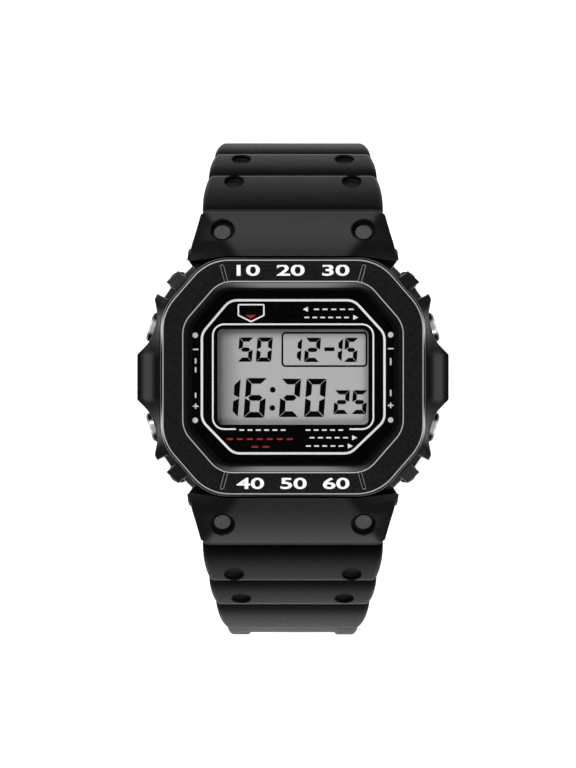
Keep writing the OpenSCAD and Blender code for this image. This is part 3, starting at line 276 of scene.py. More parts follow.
def reach(outline, angle):
    """How far a closed outline round the centre lies in each direction: a ray from the centre meets the side
    from p to q at (p cross q) / (direction cross (q - p))."""
    a = np.arctan2(outline[:, 1], outline[:, 0])
    order = np.argsort(a)
    p, a = outline[order], a[order]
    q = np.roll(p, -1, 0)
    angle = (np.asarray(angle) + np.pi) % (2 * np.pi) - np.pi
    i = (np.searchsorted(a, angle, side="right") - 1) % len(a)
    side = q[i] - p[i]
    cross = p[i][:, 0] * q[i][:, 1] - p[i][:, 1] * q[i][:, 0]
    return cross / (np.cos(angle) * side[:, 1] - np.sin(angle) * side[:, 0])


# Materials

NOISE_LOW, NOISE_HIGH = 0.3, 0.7


class Shading:
    """The nodes of a material or a world."""

    def __init__(self, owner):
        owner.use_nodes = True
        self.nodes, self.links = owner.node_tree.nodes, owner.node_tree.links

    def feed(self, socket, value):
        """Gives a socket a number or a colour, or links it to another node's output."""
        if isinstance(value, bpy.types.NodeSocket):
            self.links.new(value, socket)
        elif socket.type == "RGBA":
            socket.default_value = (*value, 1)
        else:
            socket.default_value = value

    def node(self, kind, inputs, **settings):
        """A new node with these settings. Its inputs are given by name or by number."""
        node = self.nodes.new("ShaderNode" + kind)
        for name, value in settings.items():
            setattr(node, name, value)
        for key, value in inputs.items():
            self.feed(node.inputs[key], value)
        return node

    def blend(self, share, first, second):
        """A colour between two colours."""
        return self.node("Mix", {0: share, 6: first, 7: second}, data_type="RGBA").outputs[2]

    def number(self, operation, *values):
        """The result of a Math node on sockets and numbers."""
        return self.node("Math", dict(enumerate(values)), operation=operation).outputs[0]

    def parts(self, vector):
        """The X, Y and Z of a vector."""
        return self.node("SeparateXYZ", {0: vector}).outputs


class Finish(Shading):
    """A material on one Principled shader, with patterns made from Object coordinates."""

    def __init__(self, name, colour, roughness, metallic=0.0, specular=0.5, alpha=1.0):
        self.material = bpy.data.materials.new(name)
        super().__init__(self.material)
        self.inputs = self.nodes["Principled BSDF"].inputs
        self.colour, self.roughness = colour, roughness
        for socket, value in (("Base Color", colour), ("Roughness", roughness), ("Metallic", metallic),
                              ("Specular IOR Level", specular), ("Alpha", alpha)):
            self.feed(self.inputs[socket], value)
        self.place = self.node("TexCoord", {}).outputs["Object"]

    def so_far(self, socket, plain):
        """What feeds one of the shader's inputs now, or else its plain value."""
        links = self.inputs[socket].links
        return links[0].from_socket if links else plain

    def noise(self, size, stretch=(1, 1, 1), detail=3.0):
        """Noise whose patches are about `size` millimetres, longer along each axis by its stretch."""
        mapping = self.node("Mapping", {"Vector": self.place, "Scale": [1 / s for s in stretch]})
        inputs = {"Vector": mapping.outputs["Vector"], "Scale": 1 / (size * MM), "Detail": detail}
        return self.node("TexNoise", inputs).outputs["Fac"]

    def between(self, noise, low, high):
        """A number that goes from low to high over the middle of the noise."""
        span = {"Value": noise, "From Min": NOISE_LOW, "From Max": NOISE_HIGH, "To Min": low, "To Max": high}
        return self.node("MapRange", span).outputs["Result"]

    def along(self, axis):
        """The place along an axis, in millimetres."""
        return self.number("MULTIPLY", self.parts(self.place)[axis], 1 / MM)

    def off_middle(self, axis, middle):
        """How far a place lies beyond `middle` millimetres from the part's centre, either way along an
        axis."""
        return self.number("SUBTRACT", self.number("ABSOLUTE", self.along(axis)), middle)

    def tint(self, share, colour):
        """Blends the colour so far to another one by that share."""
        under = self.so_far("Base Color", self.colour)
        self.feed(self.inputs["Base Color"], self.blend(share, under, colour))

    def shaded(self, factor, start, end, colour):
        """Blends to another colour as the factor goes from start to end."""
        span = {"Value": factor, "From Min": start, "From Max": end}
        self.tint(self.node("MapRange", span, interpolation_type="SMOOTHSTEP").outputs["Result"], colour)
        return self

    def mottle(self, size, amount, **pattern):
        """Varies the colour by that share, in patches of that size."""
        low, high = (tuple(min(1, c * (1 + s * amount)) for c in self.colour) for s in (-1, 1))
        share = self.between(self.noise(size, **pattern), 0, 1)
        self.feed(self.inputs["Base Color"], self.blend(share, low, high))
        return self

    def uneven_gloss(self, size, amount, **pattern):
        """Varies the roughness by that much either way."""
        value = self.between(self.noise(size, **pattern), self.roughness - amount, self.roughness + amount)
        self.feed(self.inputs["Roughness"], value)
        return self

    def grain(self, size, depth, **pattern):
        """A fine relief of that depth in millimetres, over any relief before it."""
        bump = self.node("Bump", {"Strength": 1, "Distance": depth * MM, "Height": self.noise(size, **pattern)})
        under = self.so_far("Normal", None)
        if under is not None:
            self.feed(bump.inputs["Normal"], under)
        self.feed(self.inputs["Normal"], bump.outputs["Normal"])
        return self

    def by_attribute(self, name, colour, roughness):
        """Blends to another colour and roughness by one of the mesh's own attributes."""
        share = self.node("Attribute", {}, attribute_name=name).outputs["Fac"]
        self.tint(share, colour)
        gloss = self.node("Mix", {0: share, 2: self.so_far("Roughness", self.roughness), 3: roughness})
        self.feed(self.inputs["Roughness"], gloss.outputs[0])
        return self


def moulded_resin(name, colour, roughness, specular, speckle=0.5, speckle_size=0.3):
    """Black resin with a fine moulded grain and speckle."""
    finish = Finish(name, colour, roughness, specular=specular)
    finish.mottle(speckle_size, speckle).uneven_gloss(0.35, 0.07)
    return finish.grain(0.17, 0.03, detail=2).grain(1.4, 0.02)


def resin_with_painted_light(*recipe):
    """Moulded resin with pale painted highlights on its edges and dark painted shade in its hollows, where the
    mesh says so.
    """
    resin = moulded_resin(*recipe).by_attribute("rubbed", (0.55, 0.55, 0.56), 0.32)
    return resin.by_attribute("sunken", INK_AND_SHADE_BLACK, 1.0)


def metal(name, colour, roughness, stretch=(1, 1, 1), size=0.08, depth=0.002, metallic=1.0):
    """Bare metal, brushed along the axes that stretch is large on."""
    finish = Finish(name, colour, roughness, metallic)
    finish.mottle(0.6, 0.08).uneven_gloss(size * 2, 0.07, stretch=stretch)
    return finish.grain(size, depth, stretch=stretch)


def chrome_caps(name, colour, roughness):
    """Chrome with painted shade towards the two ends of each cap, where its reflections darken. The distance
    across a cap is found from the sizes of X and Y, less the cap's place, turned by the button's own turn."""
    finish = metal(name, colour, roughness, size=0.05, depth=0.0006, metallic=0.55)
    x, y = finish.off_middle("X", BUTTON_AT[0]), finish.off_middle("Y", BUTTON_AT[1])
    across = finish.number("SUBTRACT", finish.number("MULTIPLY", y, math.cos(BUTTON_TURN)),
                           finish.number("MULTIPLY", x, math.sin(BUTTON_TURN)))
    return finish.shaded(finish.number("ABSOLUTE", across), 0.35, 1.4, (0.012, 0.012, 0.013))


# The first colour is the black of the print and of the painted shade on the resin; the last is the grey of the
# display's painted shadow
INK_AND_SHADE_BLACK, STEEL, LCD_SHADOW_GREY = (0.0006, 0.0006, 0.0007), (0.5, 0.51, 0.53), (0.16, 0.165, 0.16)
# The bezel and strap resins carry painted highlights and painted shade, set by their meshes' attributes
BEZEL_RESIN = resin_with_painted_light("bezel_resin", (0.0058, 0.0058, 0.0062), 0.42, 0.12, 1.0, 0.17)
STRAP_RESIN = resin_with_painted_light("strap_resin", (0.0045, 0.0045, 0.005), 0.52, 0.1)
CASE_RESIN = moulded_resin("case_resin", (0.006, 0.006, 0.0065), 0.45, 0.3)
SOFT_RESIN = moulded_resin("keeper_resin", (0.006, 0.006, 0.0065), 0.5, 0.3)
STUD_GREY = Finish("stud_grey", (0.045, 0.045, 0.047), 0.6).mottle(0.18, 0.55).grain(0.2, 0.05)
BUTTON_CHROME = chrome_caps("button_chrome", (0.86, 0.87, 0.88), 0.2)
BACK_STEEL = metal("back_steel", (0.56, 0.56, 0.57), 0.32, stretch=(30, 1, 1))
SCREW_STEEL = metal("screw_steel", (0.42, 0.42, 0.44), 0.3, size=0.06)
BAR_STEEL = metal("bar_steel", STEEL, 0.28, stretch=(12, 1, 1))
BUCKLE_STEEL = metal("buckle_steel", STEEL, 0.3, stretch=(1, 1, 14))
SPRING_STEEL = metal("spring_steel", (0.48, 0.49, 0.5), 0.3, size=0.04)
CONTACT_BRASS = metal("contact_brass", (0.72, 0.52, 0.2), 0.3, size=0.06)
WINDOW_GLASS = Finish("window_glass", (0.004, 0.005, 0.006), 0.02, alpha=0.05).uneven_gloss(6, 0.01)
MASK_BLACK = Finish("mask_black", (0.002, 0.002, 0.002), 0.5, specular=0.15).mottle(0.3, 0.3)
PRINT_BLACK = Finish("print_black", INK_AND_SHADE_BLACK, 0.7, specular=0.01).mottle(0.5, 0.2)
PRINT_WHITE = Finish("print_white", (0.93, 0.93, 0.93), 0.5).mottle(0.1, 0.02)
PRINT_RED = Finish("print_red", (0.36, 0.005, 0.02), 0.5).mottle(0.1, 0.1)
LCD_GREY = Finish("lcd_grey", (0.49, 0.495, 0.49), 0.5, specular=0.2).mottle(3.0, 0.02)
# Painted shadow: the display darkens towards its left and top edges, as if shaded by the mask above it
LCD_GREY.shaded(LCD_GREY.along("X"), -6.5, -11.2, LCD_SHADOW_GREY)
LCD_GREY.shaded(LCD_GREY.along("Y"), 5.0, 7.3, LCD_SHADOW_GREY).grain(0.1, 0.001)
LCD_MARK = Finish("lcd_mark", INK_AND_SHADE_BLACK, 0.7, specular=0.01).mottle(0.2, 0.3)
SEAL_RUBBER = Finish("seal_rubber", (0.003, 0.003, 0.0033), 0.7, specular=0.1).mottle(0.3, 0.3)
SEAL_RUBBER.grain(0.1, 0.004)
MODULE_PLASTIC = Finish("module_plastic", (0.72, 0.70, 0.63), 0.45).mottle(1.0, 0.04).grain(0.3, 0.003)
BOARD_GREEN = Finish("board_green", (0.02, 0.16, 0.06), 0.35).mottle(0.8, 0.25).grain(0.6, 0.01)
LIGHT_SHEET = Finish("light_sheet", (0.68, 0.72, 0.60), 0.5).mottle(1.0, 0.03)

NODE_FINISHES = {
    CASE_RESIN: ["case_center"],
    SOFT_RESIN: ["keeper"],
    STUD_GREY: ["strap_studs_12", "strap_studs_6"],
    WINDOW_GLASS: ["glass"],
    MASK_BLACK: ["display_mask", "chip"],
    LCD_GREY: ["lcd_panel"],
    LIGHT_SHEET: ["backlight_panel"],
    MODULE_PLASTIC: ["module_frame"],
    BOARD_GREEN: ["circuit_board"],
    SEAL_RUBBER: ["glass_gasket", "case_back_gasket", "zebra_strips", "module_cushion"]
    + [f"button_{hour}_seal" for hour in BUTTON_HOURS],
    BUTTON_CHROME: [f"button_{hour}" for hour in BUTTON_HOURS],
    SPRING_STEEL: ["buzzer_spring"]
    + [f"button_{hour}_{part}" for hour in BUTTON_HOURS for part in ("spring", "clip")],
    CONTACT_BRASS: ["switch_contacts", "buzzer_disc"],
    BACK_STEEL: ["case_back"],
    SCREW_STEEL: ["bezel_screws", "case_back_screws"],
    BAR_STEEL: ["spring_bars", "buckle_pin", "button_tubes", "quartz_crystal", "battery", "battery_clip"],
    BUCKLE_STEEL: ["buckle_frame", "prong"],
}
for finish, names in NODE_FINISHES.items():
    for name in names:
        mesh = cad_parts[name].data
        mesh.materials.clear()
        mesh.materials.append(finish.material)


# Bezel

# Half width, half length and the distance of the corner's line, for each octagon round the dial
VIEW, VIEW_R = np.array([14.5, 12.45, 15.6]), 3
RING, RING_R = np.array([18.3, 16.45, 19.8034]), 6.5
CASE_ROOM, NECK_ROOM, ROOM_R = np.array([18.3, 17.4, 19.79]), np.array([16.7, 14.7, 17.9]), 3
SEAT_GAP = 0.05

# The silhouette in its first quarter: guard, bay, teeth, and the two ways it ends by the hood
SIDE = [[22, 3.19], [21.1, 4.1], [20.5, 4.75], [19.91, 5.8], [19.45, 7.16], [19.23, 8.25], [19.23, 9.36],
        [19.55, 11.0], [19.1, 11.95], [17.85, 13.5], [16.2, 15.05]]
FLANGE_END = [[15.0, 15.75], [13.9, 15.45], [12.2, 16.8]]
FOOT_END = [[14.85, 16.2], [14.2, 17.3], [11.75, 17.3], [11.7, 16.8]]
SIDE_SOFTENING = (-0.3, -0.15, 0, 0.15, 0.3)
# Beyond this direction the hood lies over the flange, which then ends this far past the ring
HOOD_FROM, HOOD_LAP = math.radians(47.95), 0.3
# Each notch's direction and its floor's distance, and its half width and wall as angles
NOTCHES = [(math.radians(34.2), 21.4), (math.radians(45.4), 21.15)]
NOTCH_HALF, NOTCH_WALL = math.radians(2.35), math.radians(0.35)
NOTCH_SHARES = (-0.6, -0.05, 0.25, 0.5, 0.75, 1.05, 1.6)

# The inner wall, the ring's edge, and its side as (distance past the ring's outline, height)
WALL_RUN, WALL_RISE, WALL_END_SHARE, RING_EDGE = 0.85, 0.95, 0.97, 0.3
RING_SIDE = ((0.06, 13.0), (0.2, 12.55), (0.28, 12.3), (0.32, 12.1))
# The flange's root with its fillet, its lip, and the skirt under it with its foot
ROOT_OUT, ROOT_MIN, CORNER_DIP = 0.35, 0.1, 1.0
FILLET_OUT, FILLET_UP, FILLET_END = 0.06, 0.25, 0.03
LIP_R, SKIRT_RISE = 0.14, 0.3
FOOT_R, FOOT_WALL, FOOT_RISE, FOOT_MARGIN, FOOT_EASE = 0.12, 0.15, 0.2, 0.3, 0.12

# The cutter for a button's cap, from its inner end to its outer one, measured from the cap's face
CAP_BORE_R, CAP_BORE_SPAN = 2.3, (-2.9, 1.0)

# The name places on the ring and the slanted grooves beside them
PLATE_FAR, PLATE_NEAR, PLATE_HALF, PLATE_TAPER = 15.7, 12.8, 9.7, 0.8
PLATE_DEPTH, GROOVE_DEPTH, GROOVE_W, PLATE_EASE = 0.15, 0.4, 0.6, 0.12
# Directions round the dial, in degrees: the even step, and the grooves' span and step
EVEN_STEP, GROOVE_SPAN, GROOVE_STEP = 0.5, (53, 59.5), 0.15

# How much painted highlight and how much painted shade each place has, from 0 to 1
WALL_HIGHLIGHT, GUARD_HIGHLIGHT, DARK_SHARE = 0.42, 0.085, 0.8
INNER_EDGE_HIGHLIGHT = ((18, 0), (32, 1), (52, 0.95), (70, 0), (90, 0))
OUTER_EDGE_HIGHLIGHT = ((68, 0), (50, 0.85), (24, 1))


def fold(angle):
    """Directions turned into the first quarter."""
    return np.arctan2(np.abs(np.sin(angle)), np.abs(np.cos(angle)))


def octagon_reach(sizes, radius, angle):
    return reach(blended(octagon(*sizes), radius), angle)


def bezel_angles():
    """Directions round the dial, in radians, closer together at the notches and the slanted grooves."""
    even = np.radians(np.arange(0, 90, EVEN_STEP))
    notches = [at + side * (NOTCH_HALF + NOTCH_WALL * share)
               for at, floor in NOTCHES for side in (-1, 1) for share in NOTCH_SHARES]
    grooves = np.radians(np.arange(*GROOVE_SPAN, GROOVE_STEP))
    quarter = np.unique(np.round(np.concatenate([even, notches, grooves]), 5))
    turns = [quarter, np.pi - quarter, np.pi + quarter, 2 * np.pi - quarter]
    return np.unique(np.round(np.concatenate(turns) % (2 * np.pi), 5))


def side_reach(angle, by_hood):
    """The bezel's silhouette: the guards, bays and teeth, and its end by the hood, softened over half a
    degree, with the notches cut in."""
    outline = mirrored_round(SIDE + by_hood)
    plain = np.mean([reach(outline, angle + math.radians(turn)) for turn in SIDE_SOFTENING], 0)
    folded = fold(angle)
    for notch, deep in NOTCHES:
        wall = smooth((np.abs(folded - notch) - NOTCH_HALF) / NOTCH_WALL)
        floor = deep / np.cos(folded - notch)
        plain = np.where(wall < 1, floor + (plain - floor) * wall, plain)
    return plain


def plate_sink(x, y):
    """How deep the ring's top is sunk at the two name places and in the slanted grooves beside them."""
    y = np.abs(y)
    half = PLATE_HALF - PLATE_TAPER * (PLATE_FAR - y) / (PLATE_FAR - PLATE_NEAR)
    ends = smooth((PLATE_FAR - y) / PLATE_EASE + 0.5)
    plate = smooth((half - np.abs(x)) / PLATE_EASE + 0.5)
    groove = smooth(1.9 - 1.9 * np.abs(np.abs(x) - half - GROOVE_W / 2) / (GROOVE_W * 0.6))
    return ends * np.maximum(PLATE_DEPTH * plate, GROOVE_DEPTH * groove)


def rounded(radius, turn):
    """How far back from its side and down from its top a rounded edge is, `turn` degrees up."""
    turn = math.radians(turn)
    return radius * (1 - math.cos(turn)), radius * (1 - math.sin(turn))


def wall_rows(view, ends):
    """The sloping inner wall, up to the ring's rounded inner edge: a painted highlight at 12 and 6 o'clock,
    painted shade at its foot at the sides, and a thin painted highlight line along the rounded edge."""
    foot = GLASS_TOP + SEAT_GAP
    rows = [(view(0.0), foot, 0, 1)]
    for f in (0.04, 0.2, 0.45, 0.7, 0.9):
        rows.append((view(WALL_RUN * f), foot + WALL_RISE * f, WALL_HIGHLIGHT * ends * smooth(f * 3.5),
                     (1 - ends) * (1 - smooth((f - 0.25) / 0.35))))
    rows.append((view(WALL_RUN * WALL_END_SHARE), foot + WALL_RISE * WALL_END_SHARE, 0, 0))
    for turn, rubbed in INNER_EDGE_HIGHLIGHT:
        back, down = rounded(RING_EDGE, turn)
        rows.append((view(WALL_RUN + back), BEZEL_TOP - down, rubbed, 0))
    return rows


def ring_rows(view, ring, ends, folded):
    """The ring's flat top, its rounded outer edge with a painted highlight line, and its side, which is in
    painted shade but for a painted highlight at the corners.
    """
    inner, outer = view(WALL_RUN + RING_EDGE), ring(-RING_EDGE)
    rows = [(inner + (outer - inner) * f, BEZEL_TOP, 0, 0) for f in np.linspace(0.03, 1, 30)]
    for turn, rubbed in OUTER_EDGE_HIGHLIGHT:
        back, down = rounded(RING_EDGE, turn)
        rows.append((ring(-back), BEZEL_TOP - down, rubbed, 0))
    # Painted shade on the ring's side, less of it at 12 and 6 o'clock, and a painted highlight there at the
    # corners
    dark = 1 - DARK_SHARE * ends
    corner = smooth((folded - 9) / 11) * smooth((31 - folded) / 11)
    hollow = dark * (1 - corner)
    rows.append((ring(0.0), BEZEL_TOP - RING_EDGE, 0.5 * corner, DARK_SHARE * hollow))
    shares = [(corner, hollow), (corner, hollow), (np.maximum(0.7 * (1 - ends), corner), 0.2 * dark), (0, dark)]
    return rows + [(ring(out), height, *share) for (out, height), share in zip(RING_SIDE, shares)]


def flange_rows(ring, side, folded):
    """The flange, from its root in painted shade, which dips at the corners, down to its rounded lip. The
    notches' walls and lips carry painted highlights, and a guard has a soft painted highlight between two
    borders in painted shade."""
    root = np.minimum(ring(ROOT_OUT), side - ROOT_MIN)
    root_z = FLANGE_TOP_Z - CORNER_DIP * smooth((folded - 22) / 8)
    fillet = np.minimum(FILLET_OUT, (side - root) * 0.2)
    rows = [(root, root_z + FILLET_UP, 0, 1), (root + fillet, root_z + FILLET_END, 0, DARK_SHARE)]
    off_notch = [np.abs(folded - math.degrees(at)) for at, floor in NOTCHES]
    off_wall = [np.abs(off - math.degrees(NOTCH_HALF + NOTCH_WALL / 2)) for off in off_notch]
    walls = 0.4 * smooth(1.4 - np.min(off_wall, 0) / 0.25)
    in_notch = sum(smooth((math.degrees(NOTCH_HALF) - off) / 0.3) for off in off_notch)
    guard = smooth((11 - folded) / 3)
    lip = side - LIP_R
    for f in (0.2, 0.45, 0.7, 0.92, 1):
        inside = 0.3 < f < 0.9
        rubbed = walls * smooth(f * 2 - 0.6) + GUARD_HIGHLIGHT * guard * inside
        rows.append((root + (lip - root) * f, root_z + (FLANGE_Z - root_z) * f, rubbed,
                     DARK_SHARE * guard * (not inside)))
    for turn, rubbed in ((55, 0.22 + 0.7 * in_notch), (20, 0.08), (0, 0)):
        back, down = rounded(LIP_R, turn)
        rows.append((side - back, FLANGE_Z - down, rubbed * (1 - guard), DARK_SHARE * guard))
    return rows


def underside_rows(angle, side):
    """From the flange's lip down the skirt to its foot, back inside round the case, and up the neck to the
    glass. Where the case stands out further than the skirt, the foot ends at the shoulder."""
    low_side = side_reach(angle, FOOT_END)
    case = octagon_reach(CASE_ROOM, ROOM_R, angle)
    neck = octagon_reach(NECK_ROOM, ROOM_R, angle)
    foot = SKIRT_Z + (SHOULDER_Z - SKIRT_Z) * smooth((case + FOOT_MARGIN - low_side) / FOOT_EASE)
    start = SHOULDER_Z - SEAT_GAP + SKIRT_RISE * (foot - SKIRT_Z) / (SHOULDER_Z - SKIRT_Z)
    rows = [(side, SHOULDER_Z + SKIRT_RISE)]
    rows += [(low_side, start * (1 - f) + (foot + FOOT_RISE) * f) for f in (0, 0.25, 0.5, 0.75, 1)]
    rows += [(low_side - FOOT_R / 2, foot + FOOT_R / 2), (low_side - FOOT_R, foot)]
    within, ceiling = np.minimum(case, low_side - FOOT_WALL), SHOULDER_Z + SEAT_GAP
    rows += [(within, foot), (within, ceiling), (neck, ceiling), (neck, GLASS_TOP + SEAT_GAP)]
    return [(*row, 0, 0) for row in rows]


def bezel_shell():
    """A closed shell round the dial: at each direction a loop of rows, each at a distance from the centre and
    a height. The loop climbs the sloping inner wall, crosses the ring's top, goes down its side and over the
    flange to the guards and notches, and returns underneath. Each row also says how much painted highlight
    and painted shade it has."""
    angle = bezel_angles()
    folded = np.degrees(fold(angle))
    ends = smooth((np.abs(np.sin(angle)) - 0.72) / 0.26)

    def view(grow):
        return octagon_reach(VIEW + grow, VIEW_R + grow, angle)

    def ring(grow):
        return octagon_reach(RING + grow, RING_R, angle)

    side = side_reach(angle, FLANGE_END)
    side = np.where(fold(angle) > HOOD_FROM, np.minimum(side, ring(HOOD_LAP)), side)
    rows = wall_rows(view, ends) + ring_rows(view, ring, ends, folded)
    rows += flange_rows(ring, side, folded) + underside_rows(angle, side)
    rows = np.array([[np.broadcast_to(value, angle.shape) for value in row] for row in rows])
    distance, height, rubbed, sunken = rows.swapaxes(0, 1)

    x, y = distance * np.cos(angle), distance * np.sin(angle)
    sink = plate_sink(x, y)
    on_top = (height > BEZEL_TOP - RING_EDGE - 0.01) & (distance < ring(-0.05))
    height = np.where(on_top, np.minimum(height, BEZEL_TOP - sink), height)
    # Painted highlight lines on the walls of the slanted grooves beside the name places
    groove_line = smooth((sink - 0.16) / 0.04) * smooth(1.5 - 1.5 * np.abs(sink - 0.26) / 0.14)
    rubbed = np.where(on_top & (sink > 0.005), np.maximum(rubbed, groove_line), rubbed)
    points = np.stack([x, y, height], -1).reshape(-1, 3)
    mesh = mesh_from("bezel_shell", points, grid_faces(len(rows), len(angle), True, True)[:, ::-1])
    set_shares(mesh, rubbed=rubbed, sunken=sunken)
    return cut_away(mesh, *(button_bore(sx, sy) for sx in (1, -1) for sy in (1, -1)))


def turned_rod(radius, start, end, count=64):
    """Points and faces, facing inwards, of a closed cylinder from start to end along its own axis, as (along,
    across, up)."""
    a = np.linspace(0, 2 * np.pi, count, endpoint=False)
    rings = [np.stack([np.full(count, u), radius * np.cos(a), radius * np.sin(a)], -1) for u in (start, end)]
    faces = grid_faces(2, count, False, True).tolist()
    faces += [list(range(count - 1, -1, -1)), list(range(count, 2 * count))]
    return np.concatenate(rings), [f[::-1] for f in faces]


def button_bore(sx, sy):
    """The cutter for one button's cap, along the button's own axis, on the side and end that sx and sy say.
    Only the two at sx = -1 face outwards and cut a bore. Those at sx = 1 face inwards: the wall stays,
    doubled, round the cap, which is a known fault."""
    points, faces = turned_rod(CAP_BORE_R, *CAP_BORE_SPAN)
    along, across, up = points.T
    c, s = sx * math.cos(BUTTON_TURN), sy * math.sin(BUTTON_TURN)
    placed = np.column_stack([sx * BUTTON_AT[0] + along * c - across * s,
                              sy * BUTTON_AT[1] + along * s + across * c, BUTTON_Z + up])
    bore = mesh_from("button_bore", placed, faces)
    if sx < 0:
        bore.flip_normals()
    return bore


add_piece(bezel_shell(), BEZEL_RESIN, "case", ["bezel"], sharp=50)


# Strap

# Where each half's ridges start and end, along the strap
SHORT_RIDGES = RIDGE_START + np.array([0, 6.75, 13.5, 20.3, 29])
LONG_RIDGES = RIDGE_START + np.array([0, 7.2, 14.4, 24.8])
# How far the face is sunk at a ridge's start, in its groove, on the ledge and on the level run
RIDGE_SINK, GROOVE_SINK, LEDGE_SINK, RUN_SINK = 0.85, 0.25, 0.9, 0.275
# The power of a ridge's hollow, its groove's share, the easings, and the shifts that soften it all
RIDGE_POWER, GROOVE_SHARE, LEDGE_EASE, RUN_EASE = 2.2, 0.1, 0.15, 0.12
SOFTENING = (-0.08, -0.04, 0, 0.04, 0.08)

# Slopes, in degrees below level: the ledge's two ends, and where each ridge starts and the last one ends
LEDGE_SLOPES, SHORT_SLOPES, LONG_SLOPES = (40, 42), (43, 54, 66, 84, 102), (43, 54, 62, 68, 77)
SHORT_CURL_R, SHORT_RUN = 22, 15.4
LONG_BEND, LONG_BEND_END, LONG_CURL_R, LONG_RUN = 12, 92, 26, 35

# Half widths at the hood's front and end, at the first ridge's start and at the last one's end
HOOD_W, HOOD_END_W, FIRST_W, LAST_W = 14.95, 13.1, 12.85, 9.8
# Thicknesses at the first two ridges' starts, at the last one's end and on the level run
FIRST_THICK, SECOND_THICK, LAST_THICK, RUN_THICK = 6, 4.2, 3.5, 3
BUCKLE_W, TIP_W, TIP_SPAN, TIP_BLUNT, TIP_THINNING = 20.0, 18.6, 7.0, 0.6, 0.8
# The side facet's width and drop and the easing of its upper corner, at the hood's front and beyond the hood
FACET_W, FACET_DROP, FACET_R, LOW_EDGE = (7.2, 0.6), (1.4, 0.6), (1.3, 0.3), 0.6
HOOD_LIP, SLEEVE_TURNS, SLEEVE_PARTS = np.array([17.45, 9.0]), (140, 240), 5
FACE_CELLS, CORNER_STEPS = 57, 4
FINE_STEP, COARSE_STEP, LEAST_STEP, END_GAP, SHUT_STEP = 0.22, 0.9, 0.03, 0.2, 8.0
CRISP_STEPS = (-0.3, -0.2, -0.14, -0.07, 0, 0.07, 0.15, 0.35, 0.5, 0.65)

# How far the hood's front reaches to the bezel's corners, at places across it
HORN_AT = [9.4, 10.7, 11.5, 12.3, 12.9, 13.3, 14.0, 14.7]
HORN_REACH = [0, 0.12, 0.33, 0.68, 1.02, 1.3, 1.1, 0.85]
HORN_LEN, HORN_DEEP = 3.2, 2.1
CHANNEL_HALF, CHANNEL_DEPTH, CHANNEL_EASE, CHANNEL_GAP, CHANNEL_START = 6.5, 0.35, 0.8, 1.5, 1.2

# Where the hood's painted highlight is given, along the strap, and how strong each half's is there
HOOD_HIGHLIGHT_AT, HOOD_HIGHLIGHT = [0, 2, 4, 6, 7.4, 7.8, 8.7, 8.8], 0.06
SHORT_HOOD_HIGHLIGHT = [0.55, 0.9, 1.1, 1.05, 0.9, 0.5, 0.3, 0]
LONG_HOOD_HIGHLIGHT = [0.35, 0.35, 0.7, 1.3, 1.8, 1.5, 0.9, 0]

# Cutters, and profiles as (radius, height over the strap's line) from the inner end outwards
POCKET_R, POCKET_FROM, POCKET_TO, POCKET_OPEN = 2.85, 7.95, 11.75, 16.5
BAR_BORE_R, PIN_BORE_R, BORE_HALF = 0.95, 0.8, 20
STUD_X, STUD_BEFORE_BAR = 10, 2
STUD_RECESS = [(1.58, -1), (1.7, -0.9), (1.7, -0.1), (1.9, 0.1)]
# A ridge's recesses: how far across, and the share of the ridge before them
RIDGE_RECESS_AT = ((8.44, 0.78), (7.48, 0.74))
RIDGE_RECESS = [(1.25, -0.72), (1.375, -0.62), (1.375, -0.13), (1.55, 0.1)]
PRONG_HOLE, HOLE_COUNT, HOLE_PITCH, LAST_HOLE = [(1.15, -5), (1.15, -0.4), (1.3, -0.15)], 12, 5.6, 10.9
SLOT_HALF_W, SLOT_HALF_L, SLOT_R, SLOT_SHIFT, SLOT_HALF_H = 1.3, 3.6, 0.1, 1.6, 3


def heading(slope):
    """Unit steps along the strap's line and out of it, in the YZ plane, where slope is degrees below
    level."""
    a = np.radians(slope)
    return np.stack([np.cos(a), -np.sin(a)], -1), np.stack([np.sin(a), np.cos(a)], -1)


def strap_line(s, legs):
    """Places and slopes along the strap. Each leg (length, slope at its start, slope at its end) is an arc:
    its slope goes evenly from one to the other, so a point on it is the start plus the integral of the
    heading."""
    s = np.asarray(s, float)
    place, slope = np.zeros(s.shape + (2,)), np.zeros(s.shape)
    at, here = 0.0, HOOD_START.astype(float)
    for i, (length, a0, a1) in enumerate(legs):
        part = (s >= at) if i == len(legs) - 1 else (s >= at) & (s < at + length)

        def after(step):
            a = a0 + (a1 - a0) * step / length
            if a0 == a1:
                return here + step[..., None] * heading(a0)[0], a
            bend = length * 180 / np.pi / (a1 - a0)
            turn = np.stack([np.sin(np.radians(a)) - math.sin(math.radians(a0)),
                             np.cos(np.radians(a)) - math.cos(math.radians(a0))], -1)
            return here + bend * turn, a
        p, a = after(s - at)
        place[part], slope[part] = p[part], a[part]
        here = after(np.array([length]))[0][0]
        at += length
    return place, slope


def line_length(legs):
    return sum(length for length, start, end in legs)


def curl(radius, slope, run):
    """The leg that curls from a slope until the strap runs back level, and the level run."""
    return [(radius * math.radians(180 - slope), slope, 180), (run, 180, 180)]


def first_legs(slopes):
    """The legs of the hood, the ledge and the ridges, whose slopes at their ends are given."""
    ridges = [(RIDGE_LEN, start, end) for start, end in zip(slopes, slopes[1:])]
    return [(HOOD_LEN, HOOD_SLOPE, HOOD_SLOPE), (LEDGE_LEN, *LEDGE_SLOPES)] + ridges


